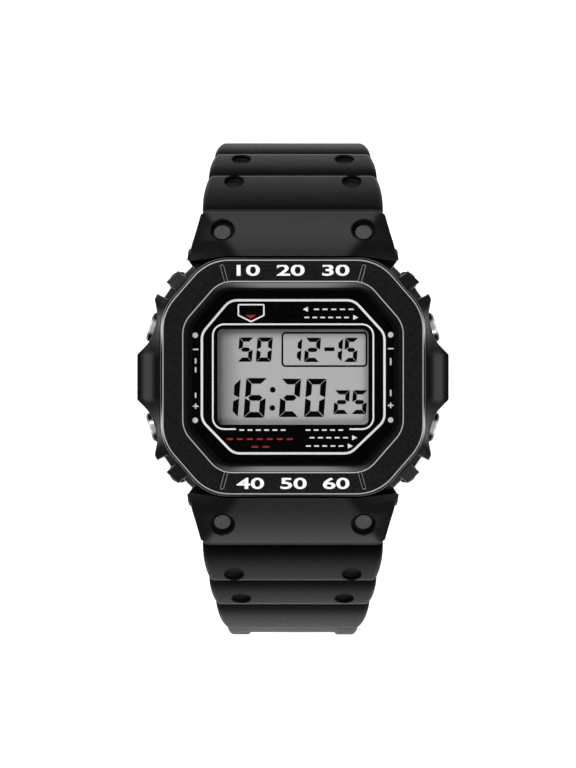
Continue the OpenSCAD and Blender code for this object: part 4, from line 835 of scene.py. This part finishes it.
SHORT_LEGS = first_legs(SHORT_SLOPES) + curl(SHORT_CURL_R, SHORT_SLOPES[-1], SHORT_RUN)
LONG_LEGS = (first_legs(LONG_SLOPES) + [(LONG_BEND, LONG_SLOPES[-1], LONG_BEND_END)]
             + curl(LONG_CURL_R, LONG_BEND_END, LONG_RUN))
BAR_S = float((BAR_AT - HOOD_START) @ heading(HOOD_SLOPE)[0])
BAR_DEPTH = float((HOOD_START - BAR_AT) @ heading(HOOD_SLOPE)[1])
STUD_S = BAR_S - STUD_BEFORE_BAR
PIN_AT = strap_line(np.array([line_length(SHORT_LEGS)]), SHORT_LEGS)[0][0] + [0, RUN_SINK + BUCKLE_END_R]


def ridge_place(s, ridges):
    """The place along the ridges: 0 at the first one's start, 1 at its far edge, and so on; level outside."""
    return np.interp(s, ridges, range(len(ridges)))


def sunk_at(s, ridges):
    """How far the outer face lies under the strap's line: a step down to the ledge, then each ridge. A ridge
    starts in a narrow groove and rises as (1 - f)^2.2 to its crisp far edge, f being the place along it. The
    mean of five near places softens the edges."""
    def plain(s):
        f = ridge_place(s, ridges) % 1
        groove = GROOVE_SINK * smooth((GROOVE_SHARE - f) / 0.06) * smooth(f / 0.004)
        ridge = RIDGE_SINK * (1 - f) ** RIDGE_POWER + groove
        beyond = s - ridges[-1] + RUN_EASE
        ridge = np.where(beyond > 0, RUN_SINK * smooth(beyond / RUN_EASE), ridge)
        ledge = np.interp(s, [HOOD_LEN - LEDGE_EASE, HOOD_LEN], [0, LEDGE_SINK])
        return np.where(s < RIDGE_START, ledge, ridge)
    return np.mean([plain(s + d) for d in SOFTENING], 0)


def strap_stations(ridges, end_s, tip):
    """Places along a half, closer at its steps, and how far open the strap is at each: 1, and then the cosine
    of an angle that goes from 0 nearly to 90 degrees over the round end, while the place goes on by its
    sine."""
    fine = np.arange(0, ridges[-1] + 0.1, FINE_STEP)
    crisp = np.add.outer([HOOD_LEN, *ridges], CRISP_STEPS).ravel()
    coarse = np.arange(ridges[-1], end_s, COARSE_STEP)
    s = np.unique(np.round(np.concatenate([fine, crisp, coarse]), 3))
    s = s[(s >= 0) & (s < end_s - (TIP_SPAN if tip else END_GAP))]
    s = s[np.concatenate([[True], np.diff(s) > LEAST_STEP])]
    shut = np.radians(np.arange(0, 89, SHUT_STEP))
    beyond = end_s - TIP_SPAN * (1 - np.sin(shut)) if tip else end_s + BUCKLE_END_R * np.sin(shut)
    return np.concatenate([s, beyond]), np.concatenate([np.ones(len(s)), np.cos(shut)])


def under_hood(s):
    """The inner face where the hood covers the bar: from the hood's lip to the bar's sleeve, then round
    it."""
    start, end = SLEEVE_TURNS
    f = np.clip(s / BAR_S, 0, 1) * (SLEEVE_PARTS + 1)
    turn = np.radians(start + (end - start) / SLEEVE_PARTS * (np.maximum(f, 1) - 1))
    on_bar = BAR_AT + BAR_R * np.stack([np.cos(turn), np.sin(turn)], -1)
    return np.where((f < 1)[:, None], HOOD_LIP + (on_bar - HOOD_LIP) * np.minimum(f, 1)[:, None], on_bar)


def eased_corner(before, corner, after, radius):
    """A corner eased by the curve (1-t)^2 a + 2t(1-t) corner + t^2 b, a and b being up to `radius` away."""
    ends = []
    for other in (before, after):
        way = other - corner
        length = np.linalg.norm(way, axis=1)
        ends.append(corner + way * (np.minimum(radius, 0.45 * length) / np.maximum(length, 1e-9))[:, None])
    t = np.linspace(0, 1, CORNER_STEPS + 1)[None, :, None]
    return (1 - t) ** 2 * ends[0][:, None] + 2 * t * (1 - t) * corner[:, None] + t ** 2 * ends[1][:, None]


def strap_loops(s, half_w, depth, bevel, drop):
    """A loop round the strap at each place, as places across it and depths under its outer face: a flat face,
    a slanting side facet, a side and the inner face, each corner eased, and the same mirrored."""
    low, zero = np.minimum(LOW_EDGE, depth / 3), np.zeros_like(s)
    corners = [np.stack(corner, -1) for corner in (
        (zero, zero), (half_w - bevel, zero), (half_w, drop), (half_w, depth - low), (half_w - low, depth),
        (zero, depth))]
    radii = [np.interp(s, [0, HOOD_LEN], FACET_R), 0.4, 0.3, 0.3]
    half = np.concatenate([eased_corner(*near, radius) for *near, radius in
                           zip(corners, corners[1:], corners[2:], radii)], 1)
    flat = np.arange(FACE_CELLS) / FACE_CELLS
    face = np.stack([half[:, :1, 0] * flat, np.zeros((len(s), FACE_CELLS))], -1)
    under = np.stack([half[:, -1:, 0] * np.array([0.66, 0.33, 0.0]), np.repeat(depth[:, None], 3, 1)], -1)
    right = np.concatenate([face, half, under], 1)
    return np.concatenate([right, right[:, 1:-1][:, ::-1] * [-1, 1]], 1)


def channel_depth(s, x, channel):
    """Depth of the shallow channel at places along and across the outer face."""
    start, end = channel
    along = smooth((s - start) / CHANNEL_EASE) * smooth((end - s) / CHANNEL_EASE)
    return CHANNEL_DEPTH * along[:, None] * smooth((CHANNEL_HALF - np.abs(x)) / 0.5 + 0.5)


def end_cap(x, split):
    """Closes a loop whose points 0 to split climb in x and are mirrored, with upright triangles: each side of
    the upper part joins the lower point that faces its middle, and each side of the lower part the upper
    one."""
    top = np.arange(-split, split + 1) % len(x)
    low = np.arange(len(x) - split - 1, split, -1)
    top_mid, low_mid = ((x[path[1:]] + x[path[:-1]]) / 2 for path in (top, low))
    facing_top = np.searchsorted(low_mid, top_mid, "left")
    facing_low = np.searchsorted(top_mid, low_mid, "right")
    return (np.stack([top[1:], top[:-1], low[facing_top]], -1).tolist()
            + np.stack([low[:-1], low[1:], top[facing_low]], -1).tolist())


def strap_mesh(name, legs, ridges, end_width, channel, tip, hood_highlight, first_low):
    """A strap half as a loop of points at each place along its line. The outer face follows the line, sunk by
    the ridges; the inner one lies a thickness away, and round the spring bar where the hood covers it. The
    tip narrows by the root of how far open it is, and the buckle's end closes round as half a circle."""
    end_s, flat_s = line_length(legs), line_length(legs[:-1])
    s, opening = strap_stations(ridges, end_s, tip)
    line, slope = strap_line(s, legs)
    out = heading(slope)[1]
    half_w = np.interp(s, [0, HOOD_LEN, RIDGE_START, RIDGE_END, end_s],
                       [HOOD_W, HOOD_END_W, FIRST_W, LAST_W, end_width / 2])
    place = ridge_place(s, ridges) % 1
    half_w = half_w + place * (1 - place)
    thick = np.interp(s, [BAR_S, RIDGE_START, RIDGE_START + RIDGE_LEN, RIDGE_END, flat_s],
                      [BAR_DEPTH + BAR_R, FIRST_THICK, SECOND_THICK, LAST_THICK, RUN_THICK])
    bevel, drop = (np.interp(s, [0, HOOD_LEN], sizes) for sizes in (FACET_W, FACET_DROP))
    sunk = sunk_at(s, ridges)
    if tip:
        half_w = np.where(opening < 1, end_width / 2 * np.sqrt(opening) + TIP_BLUNT * (1 - opening), half_w)
        thick = thick - TIP_THINNING * (1 - opening)
    else:
        middle = (sunk + thick) / 2
        sunk, thick = middle + (sunk - middle) * opening, middle + (thick - middle) * opening
    outer = line - out * sunk[:, None]
    inner = np.where((s < BAR_S)[:, None], under_hood(s), line - out * thick[:, None])
    depth = np.linalg.norm(inner - outer, axis=1)
    inward = (inner - outer) / depth[:, None]

    drop, bevel = np.minimum(drop, depth * 0.6), np.minimum(bevel, half_w * 0.5)
    x, v = strap_loops(s, half_w, depth, bevel, drop).transpose(2, 0, 1)
    v = np.where(v < 0.02 + drop[:, None] * 0.9, v + channel_depth(s, x, channel), v)
    yz = outer[:, None] + inward[:, None] * v[..., None]
    horn = np.interp(np.abs(x), HORN_AT, HORN_REACH)
    yz[..., 0] -= horn * smooth(1 - s / HORN_LEN)[:, None] * smooth((HORN_DEEP - v) / 0.35)
    points = np.concatenate([x[..., None], yz], -1).reshape(-1, 3)
    rows, cols = x.shape
    faces = grid_faces(rows, cols, False, True).tolist()
    side_middle = FACE_CELLS + 2 * (CORNER_STEPS + 1) + CORNER_STEPS // 2
    faces += end_cap(x[0], side_middle) + [list(range((rows - 1) * cols, rows * cols))]
    mesh = mesh_from(name, points, faces)
    rubbed, sunken = strap_shares(s, x, v, half_w - bevel, ridges, hood_highlight, first_low)
    set_shares(mesh, rubbed=rubbed, sunken=sunken)
    return mesh


def strap_shares(s, x, v, face_half, ridges, hood_highlight, first_low):
    """How much painted highlight and painted shade each point has. Painted highlight: a soft one over the
    middle of the hood, a faint one that grows along each ridge, thin lines at the crisp far edges and at the
    hood's front. Painted shade: the start of each ridge, the ledge and the hood's slanting sides."""
    f = ridge_place(s, ridges)
    on_ridges = (f > 0) & (s < ridges[-1])
    on_hood = smooth((HOOD_LEN - s) / 0.4)
    middle = smooth((face_half[:, None] - np.abs(x)) / 1.6 + 0.5)
    # Painted highlights: a soft one over the hood's middle, a faint one growing along each ridge, and lines at
    # the crisp far edges and at the hood's front
    soft = (HOOD_HIGHLIGHT * np.interp(s, HOOD_HIGHLIGHT_AT, hood_highlight))[:, None] * middle
    along = np.where(on_ridges, 0.05 * (f % 1) ** 1.6, 0.015 * (s >= ridges[-1]))
    crisp = sum(smooth(1 - np.abs(s - at + 0.2) / 0.16) for at in (HOOD_LEN, *ridges[1:]))
    crisp = crisp * np.where(s < RIDGE_START - 1, 0.05, 0.24)
    front = 0.1 * smooth(1 - np.abs(s - 0.12) / 0.12)
    rubbed = (soft + (along + crisp + front)[:, None]) * (v < 0.45)
    # Painted shade: at each ridge's start, weaker on the first ridge by first_low, with a dark line at the
    # first ridge's start, and on the hood's slanting sides
    low = np.where(on_ridges, 1 - smooth((f % 1 - 0.1) / 0.45), 0) * np.where(f < 1, first_low, 1)
    low = np.maximum(low, smooth(1.6 - np.abs(s - RIDGE_START - 0.1) / 0.12))
    return rubbed, np.maximum(low[:, None], 0.5 * on_hood[:, None] * (1 - middle)) * (v < 1.2)


def along_x(outline, low, high):
    """A closed prism along X with this outline in the YZ plane."""
    points, faces = prisms([outline], low, high)
    return points[:, [2, 0, 1]], faces


def cross_bore(centre, radius):
    return along_x(circle(*centre, radius), -BORE_HALF, BORE_HALF)


def lug_pocket(side):
    """The space for a lug: round at the lug's nose and open towards the case."""
    a = np.linspace(-np.pi / 2, np.pi / 2, 24)
    nose = BAR_AT + POCKET_R * np.stack([np.cos(a), np.sin(a)], -1)
    outline = np.concatenate([nose, [[POCKET_OPEN, BAR_AT[1] + POCKET_R], [POCKET_OPEN, BAR_AT[1] - POCKET_R]]])
    return along_x(outline, *sorted((side * POCKET_FROM, side * POCKET_TO)))


def round_cutter(at, legs, x, profile, count=56):
    """A closed turned cutter square to the strap's face. The profile is a list of (radius, height over the
    strap's line), from its inner end to its outer one."""
    line, slope = strap_line(np.array([at]), legs)
    along, out = (h[0] for h in heading(slope))
    a = np.linspace(0, 2 * np.pi, count, endpoint=False)
    points = []
    for radius, height in profile:
        yz = line[0] + radius * np.sin(a)[:, None] * along + height * out
        points.append(np.column_stack([x + radius * np.cos(a), yz]))
    last = count * (len(profile) - 1)
    faces = grid_faces(len(profile), count, False, True).tolist()
    faces += [list(range(count - 1, -1, -1)), list(range(last, last + count))]
    return np.concatenate(points), faces


def round_recesses(legs, ridges):
    """Cutters for the two stud recesses and the four in the first two ridges, each flared at its rim."""
    parts = []
    for side in (-1, 1):
        parts.append(round_cutter(STUD_S, legs, side * STUD_X, STUD_RECESS))
        for start, end, (x, share) in zip(ridges, ridges[1:], RIDGE_RECESS_AT):
            parts.append(round_cutter(start + share * (end - start), legs, side * x, RIDGE_RECESS))
    return outward_parts("recesses", parts)


def strap_half(name, legs, ridges, end_width, channel, tip, hood_highlight, first_low, cutters):
    """A strap half with its lug pockets, bar bore, recesses and its own cutters cut away."""
    mesh = facing_out(strap_mesh(name, legs, ridges, end_width, channel, tip, hood_highlight, first_low))
    pockets = outward_parts("pockets", [lug_pocket(1), lug_pocket(-1)])
    bar_bore = outward_parts("bar_bore", [cross_bore(BAR_AT, BAR_BORE_R)])
    return cut_away(mesh, pockets, bar_bore, round_recesses(legs, ridges), *cutters)


def short_half():
    """The 12 o'clock half: four ridges, a channel, and at its end the prong's slot and the pin's bore."""
    slot = prisms([box_outline(SLOT_HALF_W, SLOT_HALF_L, SLOT_R, 0, PIN_AT[0] + SLOT_SHIFT)],
                  PIN_AT[1] - SLOT_HALF_H, PIN_AT[1] + SLOT_HALF_H)
    channel = (RIDGE_END + CHANNEL_GAP, line_length(SHORT_LEGS[:-1]) - CHANNEL_GAP)
    cutters = [outward_parts("prong_slot", [slot]), outward_parts("pin_bore", [cross_bore(PIN_AT, PIN_BORE_R)])]
    return strap_half("strap_short", SHORT_LEGS, SHORT_RIDGES, BUCKLE_W, channel, False, SHORT_HOOD_HIGHLIGHT, 0.35,
                      cutters)


def long_half():
    """The 6 o'clock half, made at 12 o'clock and turned: three ridges, a channel, prong holes and the tip."""
    last = line_length(LONG_LEGS) - LAST_HOLE
    holes = [round_cutter(last - HOLE_PITCH * i, LONG_LEGS, 0, PRONG_HOLE) for i in range(HOLE_COUNT)]
    channel = (LONG_RIDGES[-1] + CHANNEL_START, line_length(LONG_LEGS[:-1]) - CHANNEL_GAP)
    mesh = strap_half("strap_long", LONG_LEGS, LONG_RIDGES, TIP_W, channel, True, LONG_HOOD_HIGHLIGHT, 1,
                      [outward_parts("prong_holes", holes)])
    return half_turn(mesh)


add_piece(short_half(), STRAP_RESIN, "strap_12", ["strap_buckle_half"])
add_piece(long_half(), STRAP_RESIN, "strap_6", ["strap_tip_half"])


# Print on the glass

PRINT_LOW, PRINT_HIGH = GLASS_LOW - 0.06, GLASS_LOW - 0.02
FIELD, FIELD_R, FIELD_THICK = (14.9, 12.85, 16.0), 3.4, 0.05
WINDOW = (10.72, 6.82, 0.8, 0, 0.1)
FRAME = [[12.9, 6.1], [8.6, 10.82], [-8.9, 10.82], [-12.84, 6.15],
         [-12.84, -6.15], [-8.4, -10.76], [8.1, -10.76], [12.9, -6.15]]
FRAME_R, FRAME_LINE = 2.2, 0.33
INNER_LOW, INNER_R, INNER_LINE = -7.34, 1.6, 0.23
INNER = [[11.33, INNER_LOW], [11.33, 7.44], [-11.3, 7.44], [-11.3, INNER_LOW]]
INNER_ENDS = (7.96, INNER_LOW), (-8.06, INNER_LOW)
BADGE, BADGE_R, BADGE_LINE = [[-4.1, 10.2], [-7.7, 10.2], [-7.7, 8.7], [-5.9, 7.82], [-4.1, 8.7]], 0.12, 0.2
BADGE_RED = [[-6.68, 8.75], [-5.94, 8.2], [-5.2, 8.75]]
DOTS, DOT_R = ((-13.78, 5.89), (-13.78, -6.1), (13.78, 5.95), (13.78, -6.05)), 0.39

# Signs as (x, y, plus or not), side rules as (from y, to y, x), arrows as (x, y, way) and rules as (from x,
# to x, y)
SIGNS, SIGN_SIZE = ((13.78, 4.0, False), (13.78, -4.0, True), (-13.72, 3.9, False), (-13.72, -4.1, True)), 0.8
SIDE_RULES = ((1.35, 3.0, 13.78), (-3.0, -1.5, 13.78), (0.4, 2.9, -13.72), (-3.2, -1.95, -13.72))
ARROWS, ARROW_SIZE = ((1.75, 9.55, -1), (8.85, 8.4, 1), (8.7, -8.55, 1), (8.1, -9.72, 1)), 0.36
RULES = ((2.7, 8.8, 9.55), (1.4, 8.1, 8.4), (2.1, 8.0, -8.55), (1.6, 7.35, -9.72), (-7.8, -0.8, -7.47),
         (1.55, 7.3, -7.47))
RED_RULES = ((-9.6, 0.25, -8.74), (-6.15, -3.05, -9.83))
SIDE_RULE_SIZE, RULE_SIZE, RED_RULE_SIZE = 0.72, 0.62, 0.75


def loop_line(corners, radius, width):
    """The two sides of a closed line of that width, round a shape with rounded corners."""
    outline = blended(corners, radius)
    to_next = np.roll(outline, -1, 0) - np.roll(outline, 1, 0)
    normal = np.column_stack([to_next[:, 1], -to_next[:, 0]])
    normal /= np.maximum(np.linalg.norm(normal, axis=1, keepdims=True), 1e-9)
    return outline + normal * width / 2, outline - normal * width / 2


def strip(path, width):
    """The outline of an open line of that width along a path."""
    step = np.gradient(path, axis=0)
    normal = np.column_stack([step[:, 1], -step[:, 0]])
    normal /= np.linalg.norm(normal, axis=1, keepdims=True)
    return np.concatenate([path + normal * width / 2, (path - normal * width / 2)[::-1]])


def long_way(loop, start, end):
    """The part of a loop that goes the long way from start to end, which both lie on its lowest side."""
    first, last = (math.atan2(y, x) for x, y in (start, end))
    turn = (np.arctan2(loop[:, 1], loop[:, 0]) - first) % (2 * np.pi)
    keep = turn < (last - first) % (2 * np.pi)
    return np.concatenate([[start], loop[keep][np.argsort(turn[keep])], [end]])


def arrow(x, y, way):
    """A small triangle that points along +X or -X."""
    size = ARROW_SIZE
    return [[x - way * size, y - size], [x + way * size, y], [x - way * size, y + size]]


def dashes(x0, x1, y, height):
    """A rule of short bars from x0 to x1, in place of a line of words."""
    count = round((x1 - x0) / (height * 1.9))
    pitch = (x1 - x0) / count
    return [box_outline(pitch * 0.3, height * 0.16, height * 0.1, x, y)
            for x in x0 + pitch * (np.arange(count) + 0.5)]


def sign(x, y, plus):
    """A minus sign, or a plus sign with a short upright over and under its bar."""
    half, t = SIGN_SIZE / 2, SIGN_SIZE * 0.13
    shapes = [box_outline(half, t, t * 0.5, x, y)]
    if plus:
        shapes += [box_outline(t, half / 2 - t / 2, t * 0.5, x, y + s * (half / 2 + t / 2)) for s in (-1, 1)]
    return shapes


def small_marks():
    """The dots and signs beside the window, the arrows, and plain rules where the legends are."""
    shapes = [circle(x, y, DOT_R) for x, y in DOTS] + [shape for place in SIGNS for shape in sign(*place)]
    shapes += [dash[:, ::-1] for y0, y1, x in SIDE_RULES for dash in dashes(y0, y1, x, SIDE_RULE_SIZE)]
    shapes += [arrow(*place) for place in ARROWS]
    return shapes + [dash for rule in RULES for dash in dashes(*rule, RULE_SIZE)]


def glass_print():
    """The black field with its window, and the white and red marks on it, as thin layers under the glass."""
    ray = np.radians(np.arange(0, 360, 0.5))
    directions = np.column_stack([np.cos(ray), np.sin(ray)])
    field, window = (reach(outline, ray)[:, None] * directions
                     for outline in (blended(octagon(*FIELD), FIELD_R), box_outline(*WINDOW)))
    black = mesh_from("glass_print_black", *ring_band(field, window, PRINT_LOW - FIELD_THICK, PRINT_LOW))
    add_piece(facing_out(black), PRINT_BLACK, "case")

    shapes = [strip(long_way(blended(INNER, INNER_R), *INNER_ENDS), INNER_LINE)] + small_marks()
    parts = [ring_band(*loop_line(FRAME, FRAME_R, FRAME_LINE), PRINT_LOW, PRINT_HIGH),
             prisms(shapes, PRINT_LOW, PRINT_HIGH),
             ring_band(*loop_line(BADGE, BADGE_R, BADGE_LINE), PRINT_LOW, PRINT_HIGH)]
    add_piece(facing_out(gathered("glass_print_white", parts)), PRINT_WHITE, "case")

    red = [BADGE_RED] + [dash for rule in RED_RULES for dash in dashes(*rule, RED_RULE_SIZE)]
    red_mesh = mesh_from("glass_print_red", *prisms(red, PRINT_LOW, PRINT_HIGH))
    add_piece(facing_out(red_mesh), PRINT_RED, "case")


# Display and numerals

LARGE_BAR, SMALL_BAR = 0.8, 0.58
LEAN, BAR_GAP_SHARE, MARK_THICK = 0.075, 0.07, 0.02
SEGMENTS = {"0": "abcdef", "1": "bc", "2": "abged", "5": "afgcd", "6": "afgecd"}
# Each figure: its digit, its lower left corner, its width and height, and its bars' thickness
FIGURES = (
    ("1", -10.75, -5.66, 2.95, 5.4, LARGE_BAR), ("6", -7.0, -5.74, 2.95, 5.6, LARGE_BAR),
    ("2", -2.0, -5.64, 2.75, 5.4, LARGE_BAR), ("0", 1.55, -5.64, 2.8, 5.4, LARGE_BAR),
    ("2", 5.7, -5.22, 2.1, 3.35, SMALL_BAR), ("5", 8.25, -5.22, 2.05, 3.35, SMALL_BAR),
    ("5", -7.82, 2.17, 2.0, 3.42, SMALL_BAR), ("0", -5.25, 2.17, 2.15, 3.42, SMALL_BAR),
    ("1", -1.02, 2.17, 2.1, 3.3, SMALL_BAR), ("2", 1.55, 2.13, 2.15, 3.42, SMALL_BAR),
    ("1", 4.75, 2.17, 2.1, 3.3, SMALL_BAR), ("5", 7.15, 2.13, 1.85, 3.42, SMALL_BAR),
)
DATE_DASH = (0.72, 0.26, 0.12, 5.15, 3.93)
COLON, COLON_R = ((-2.86, -1.8), (-2.92, -4.36)), 0.4
DATE_BOX, DATE_R, DATE_LINE = [[-1.5, 1.55], [10.4, 1.55], [10.4, 6.25], [-1.5, 6.25]], 0.45, 0.25
NUMERALS = (("numerals_12", "10  20  30", 14.97), ("numerals_6", "40  50  60", -14.9))
NUMERALS_W, NUMERALS_H, NUMERALS_THICK, NUMERALS_SUNK, NUMERALS_WEIGHT = 15.8, 1.6, 0.1, 0.02, 0.02


def segment(kind, w, h, t, gap):
    """One bar of a seven-bar figure in a box w by h: its ends are mitred at 45 degrees with a small gap."""
    m = h / 2
    shapes = {
        "a": [(gap, h), (w - gap, h), (w - t - gap, h - t), (t + gap, h - t)],
        "d": [(gap, 0), (t + gap, t), (w - t - gap, t), (w - gap, 0)],
        "g": [(t * 0.5 + gap, m), (t + gap, m + t / 2), (w - t - gap, m + t / 2), (w - t * 0.5 - gap, m),
              (w - t - gap, m - t / 2), (t + gap, m - t / 2)],
        "f": [(0, h - gap), (t, h - t - gap), (t, m + t / 2 + gap), (0, m + gap)],
        "e": [(0, m - gap), (t, m - t / 2 - gap), (t, t + gap), (0, gap)],
    }
    if kind in "bc":
        return [(w - x, y) for x, y in shapes["f" if kind == "b" else "e"]]
    return shapes[kind]


def figure(digit, x, y, w, h, t):
    """The bars of one figure with its lower left corner at (x, y), leaning to the right."""
    bars = [np.array(segment(kind, w, h, t, t * BAR_GAP_SHARE)) for kind in SEGMENTS[digit]]
    return [np.column_stack([x + p[:, 0] + p[:, 1] * LEAN, y + p[:, 1]]) for p in bars]


def display_marks():
    """The figures, the colon and the date's box on the display, as thin layers on its face."""
    bars = [bar for place in FIGURES for bar in figure(*place)]
    bars += [box_outline(*DATE_DASH)] + [circle(x, y, COLON_R) for x, y in COLON]
    low, high = LCD_TOP, LCD_TOP + MARK_THICK
    parts = [prisms(bars, low, high), ring_band(*loop_line(DATE_BOX, DATE_R, DATE_LINE), low, high)]
    add_piece(facing_out(gathered("display_figures", parts)), LCD_MARK, "case")


def numerals(name, text, y):
    """Plain figures as a thin relief in the ring's name place: a text curve, its mesh scaled to the width,
    the cap height and the thickness, and set down."""
    curve = bpy.data.curves.new(name, "FONT")
    curve.body, curve.extrude, curve.offset, curve.resolution_u = text, NUMERALS_THICK, NUMERALS_WEIGHT, 6
    mesh = finished(link(name, curve))
    mesh.name = name
    points = points_of(mesh)
    share = (points - points.min(0)) / (points.max(0) - points.min(0))
    low = BEZEL_TOP - PLATE_DEPTH - NUMERALS_SUNK
    placed = (share - [0.5, 0.5, 0]) * [NUMERALS_W, NUMERALS_H, NUMERALS_THICK] + [0, y, low]
    add_piece(move_points(mesh, placed * MM), PRINT_WHITE, "case")


glass_print()
display_marks()
for name, text, y in NUMERALS:
    numerals(name, text, y)


# Stage

WHITE = (1, 1, 1)
# The studio's tones, as (how far towards 12 or 6 o'clock, grey), and the floor
STUDIO_TONES = ((0.35, 0.2), (0.9, 1))
FLOOR_HALF, FLOOR_GAP, FLOOR_WHITE, FLOOR_ROUGH, FLOOR_GLOW = 1500.0, 0.05, (0.9, 0.9, 0.9), 0.9, 0.55
# The lamps: name, place and watts
LAMPS = (("upper_left", (-300, 330, 480), 2.2), ("lower_right", (300, -330, 480), 1.9))
LAMP_SIDE, DIAL = 240, (0, 0, 5)
CAMERA_AT, LENS, SENSOR = (-0.70, -0.98, BEZEL_TOP + 450), 150.6, 36.0


def world_light():
    """A pale studio: bright walls beyond 12 and 6 o'clock, dim overhead and at the sides, and white where the
    camera looks past the floor."""
    world = bpy.data.worlds.new("studio")
    bpy.context.scene.world = world
    studio = Shading(world)
    direction = studio.node("TexCoord", {}).outputs["Generated"]
    ramp = studio.node("ValToRGB", {"Fac": studio.number("ABSOLUTE", studio.parts(direction)["Y"])})
    ramp.color_ramp.interpolation = "EASE"
    for stop, (place, tone) in zip(ramp.color_ramp.elements, STUDIO_TONES):
        stop.position, stop.color = place, (tone, tone, tone, 1)
    to_camera = studio.node("LightPath", {}).outputs["Is Camera Ray"]
    inputs = studio.nodes["Background"].inputs
    studio.feed(inputs["Color"], studio.blend(to_camera, ramp.outputs["Color"], WHITE))
    studio.feed(inputs["Strength"], 1.0)


def floor():
    """A white sheet just under the strap. It looks white to the camera, in reflections and through glass,
    less its shadow."""
    corners = np.array([[-1, -1, 0], [1, -1, 0], [1, 1, 0], [-1, 1, 0]]) * FLOOR_HALF
    mesh = mesh_from("floor", corners + [0, 0, float(cad_box[0][2]) / MM - FLOOR_GAP], [[0, 1, 2, 3]])
    sheet = link("floor", mesh)
    material = bpy.data.materials.new("floor_white")
    paper = Shading(material)
    rays = paper.node("LightPath", {}).outputs
    seen = paper.number("MAXIMUM", rays["Is Camera Ray"], rays["Is Glossy Ray"])
    seen = paper.number("MAXIMUM", seen, rays["Is Transmission Ray"])
    for socket, value in (("Base Color", FLOOR_WHITE), ("Roughness", FLOOR_ROUGH), ("Emission Color", WHITE),
                          ("Emission Strength", paper.number("MULTIPLY", seen, FLOOR_GLOW))):
        paper.feed(paper.nodes["Principled BSDF"].inputs[socket], value)
    mesh.materials.append(material)


def soft_lamp(name, place, watts):
    """A square soft box at a place, turned to the dial."""
    data = bpy.data.lights.new(name, "AREA")
    data.shape, data.size, data.size_y, data.energy = "RECTANGLE", LAMP_SIDE * MM, LAMP_SIDE * MM, watts
    lamp = link(name, data)
    lamp.location = Vector(place) * MM
    lamp.rotation_euler = (Vector(DIAL) - Vector(place)).to_track_quat("-Z", "Y").to_euler()


def photo_camera():
    """Straight above the dial, 450 mm over the bezel, framed as the photograph is."""
    data = bpy.data.cameras.new("photo_camera")
    data.lens, data.sensor_width = LENS, SENSOR
    camera = link("photo_camera", data)
    camera.location = Vector(CAMERA_AT) * MM
    bpy.context.scene.camera = camera


world_light()
floor()
for name, place, watts in LAMPS:
    soft_lamp(name, place, watts)
photo_camera()
bpy.context.scene.view_settings.view_transform = "Standard"
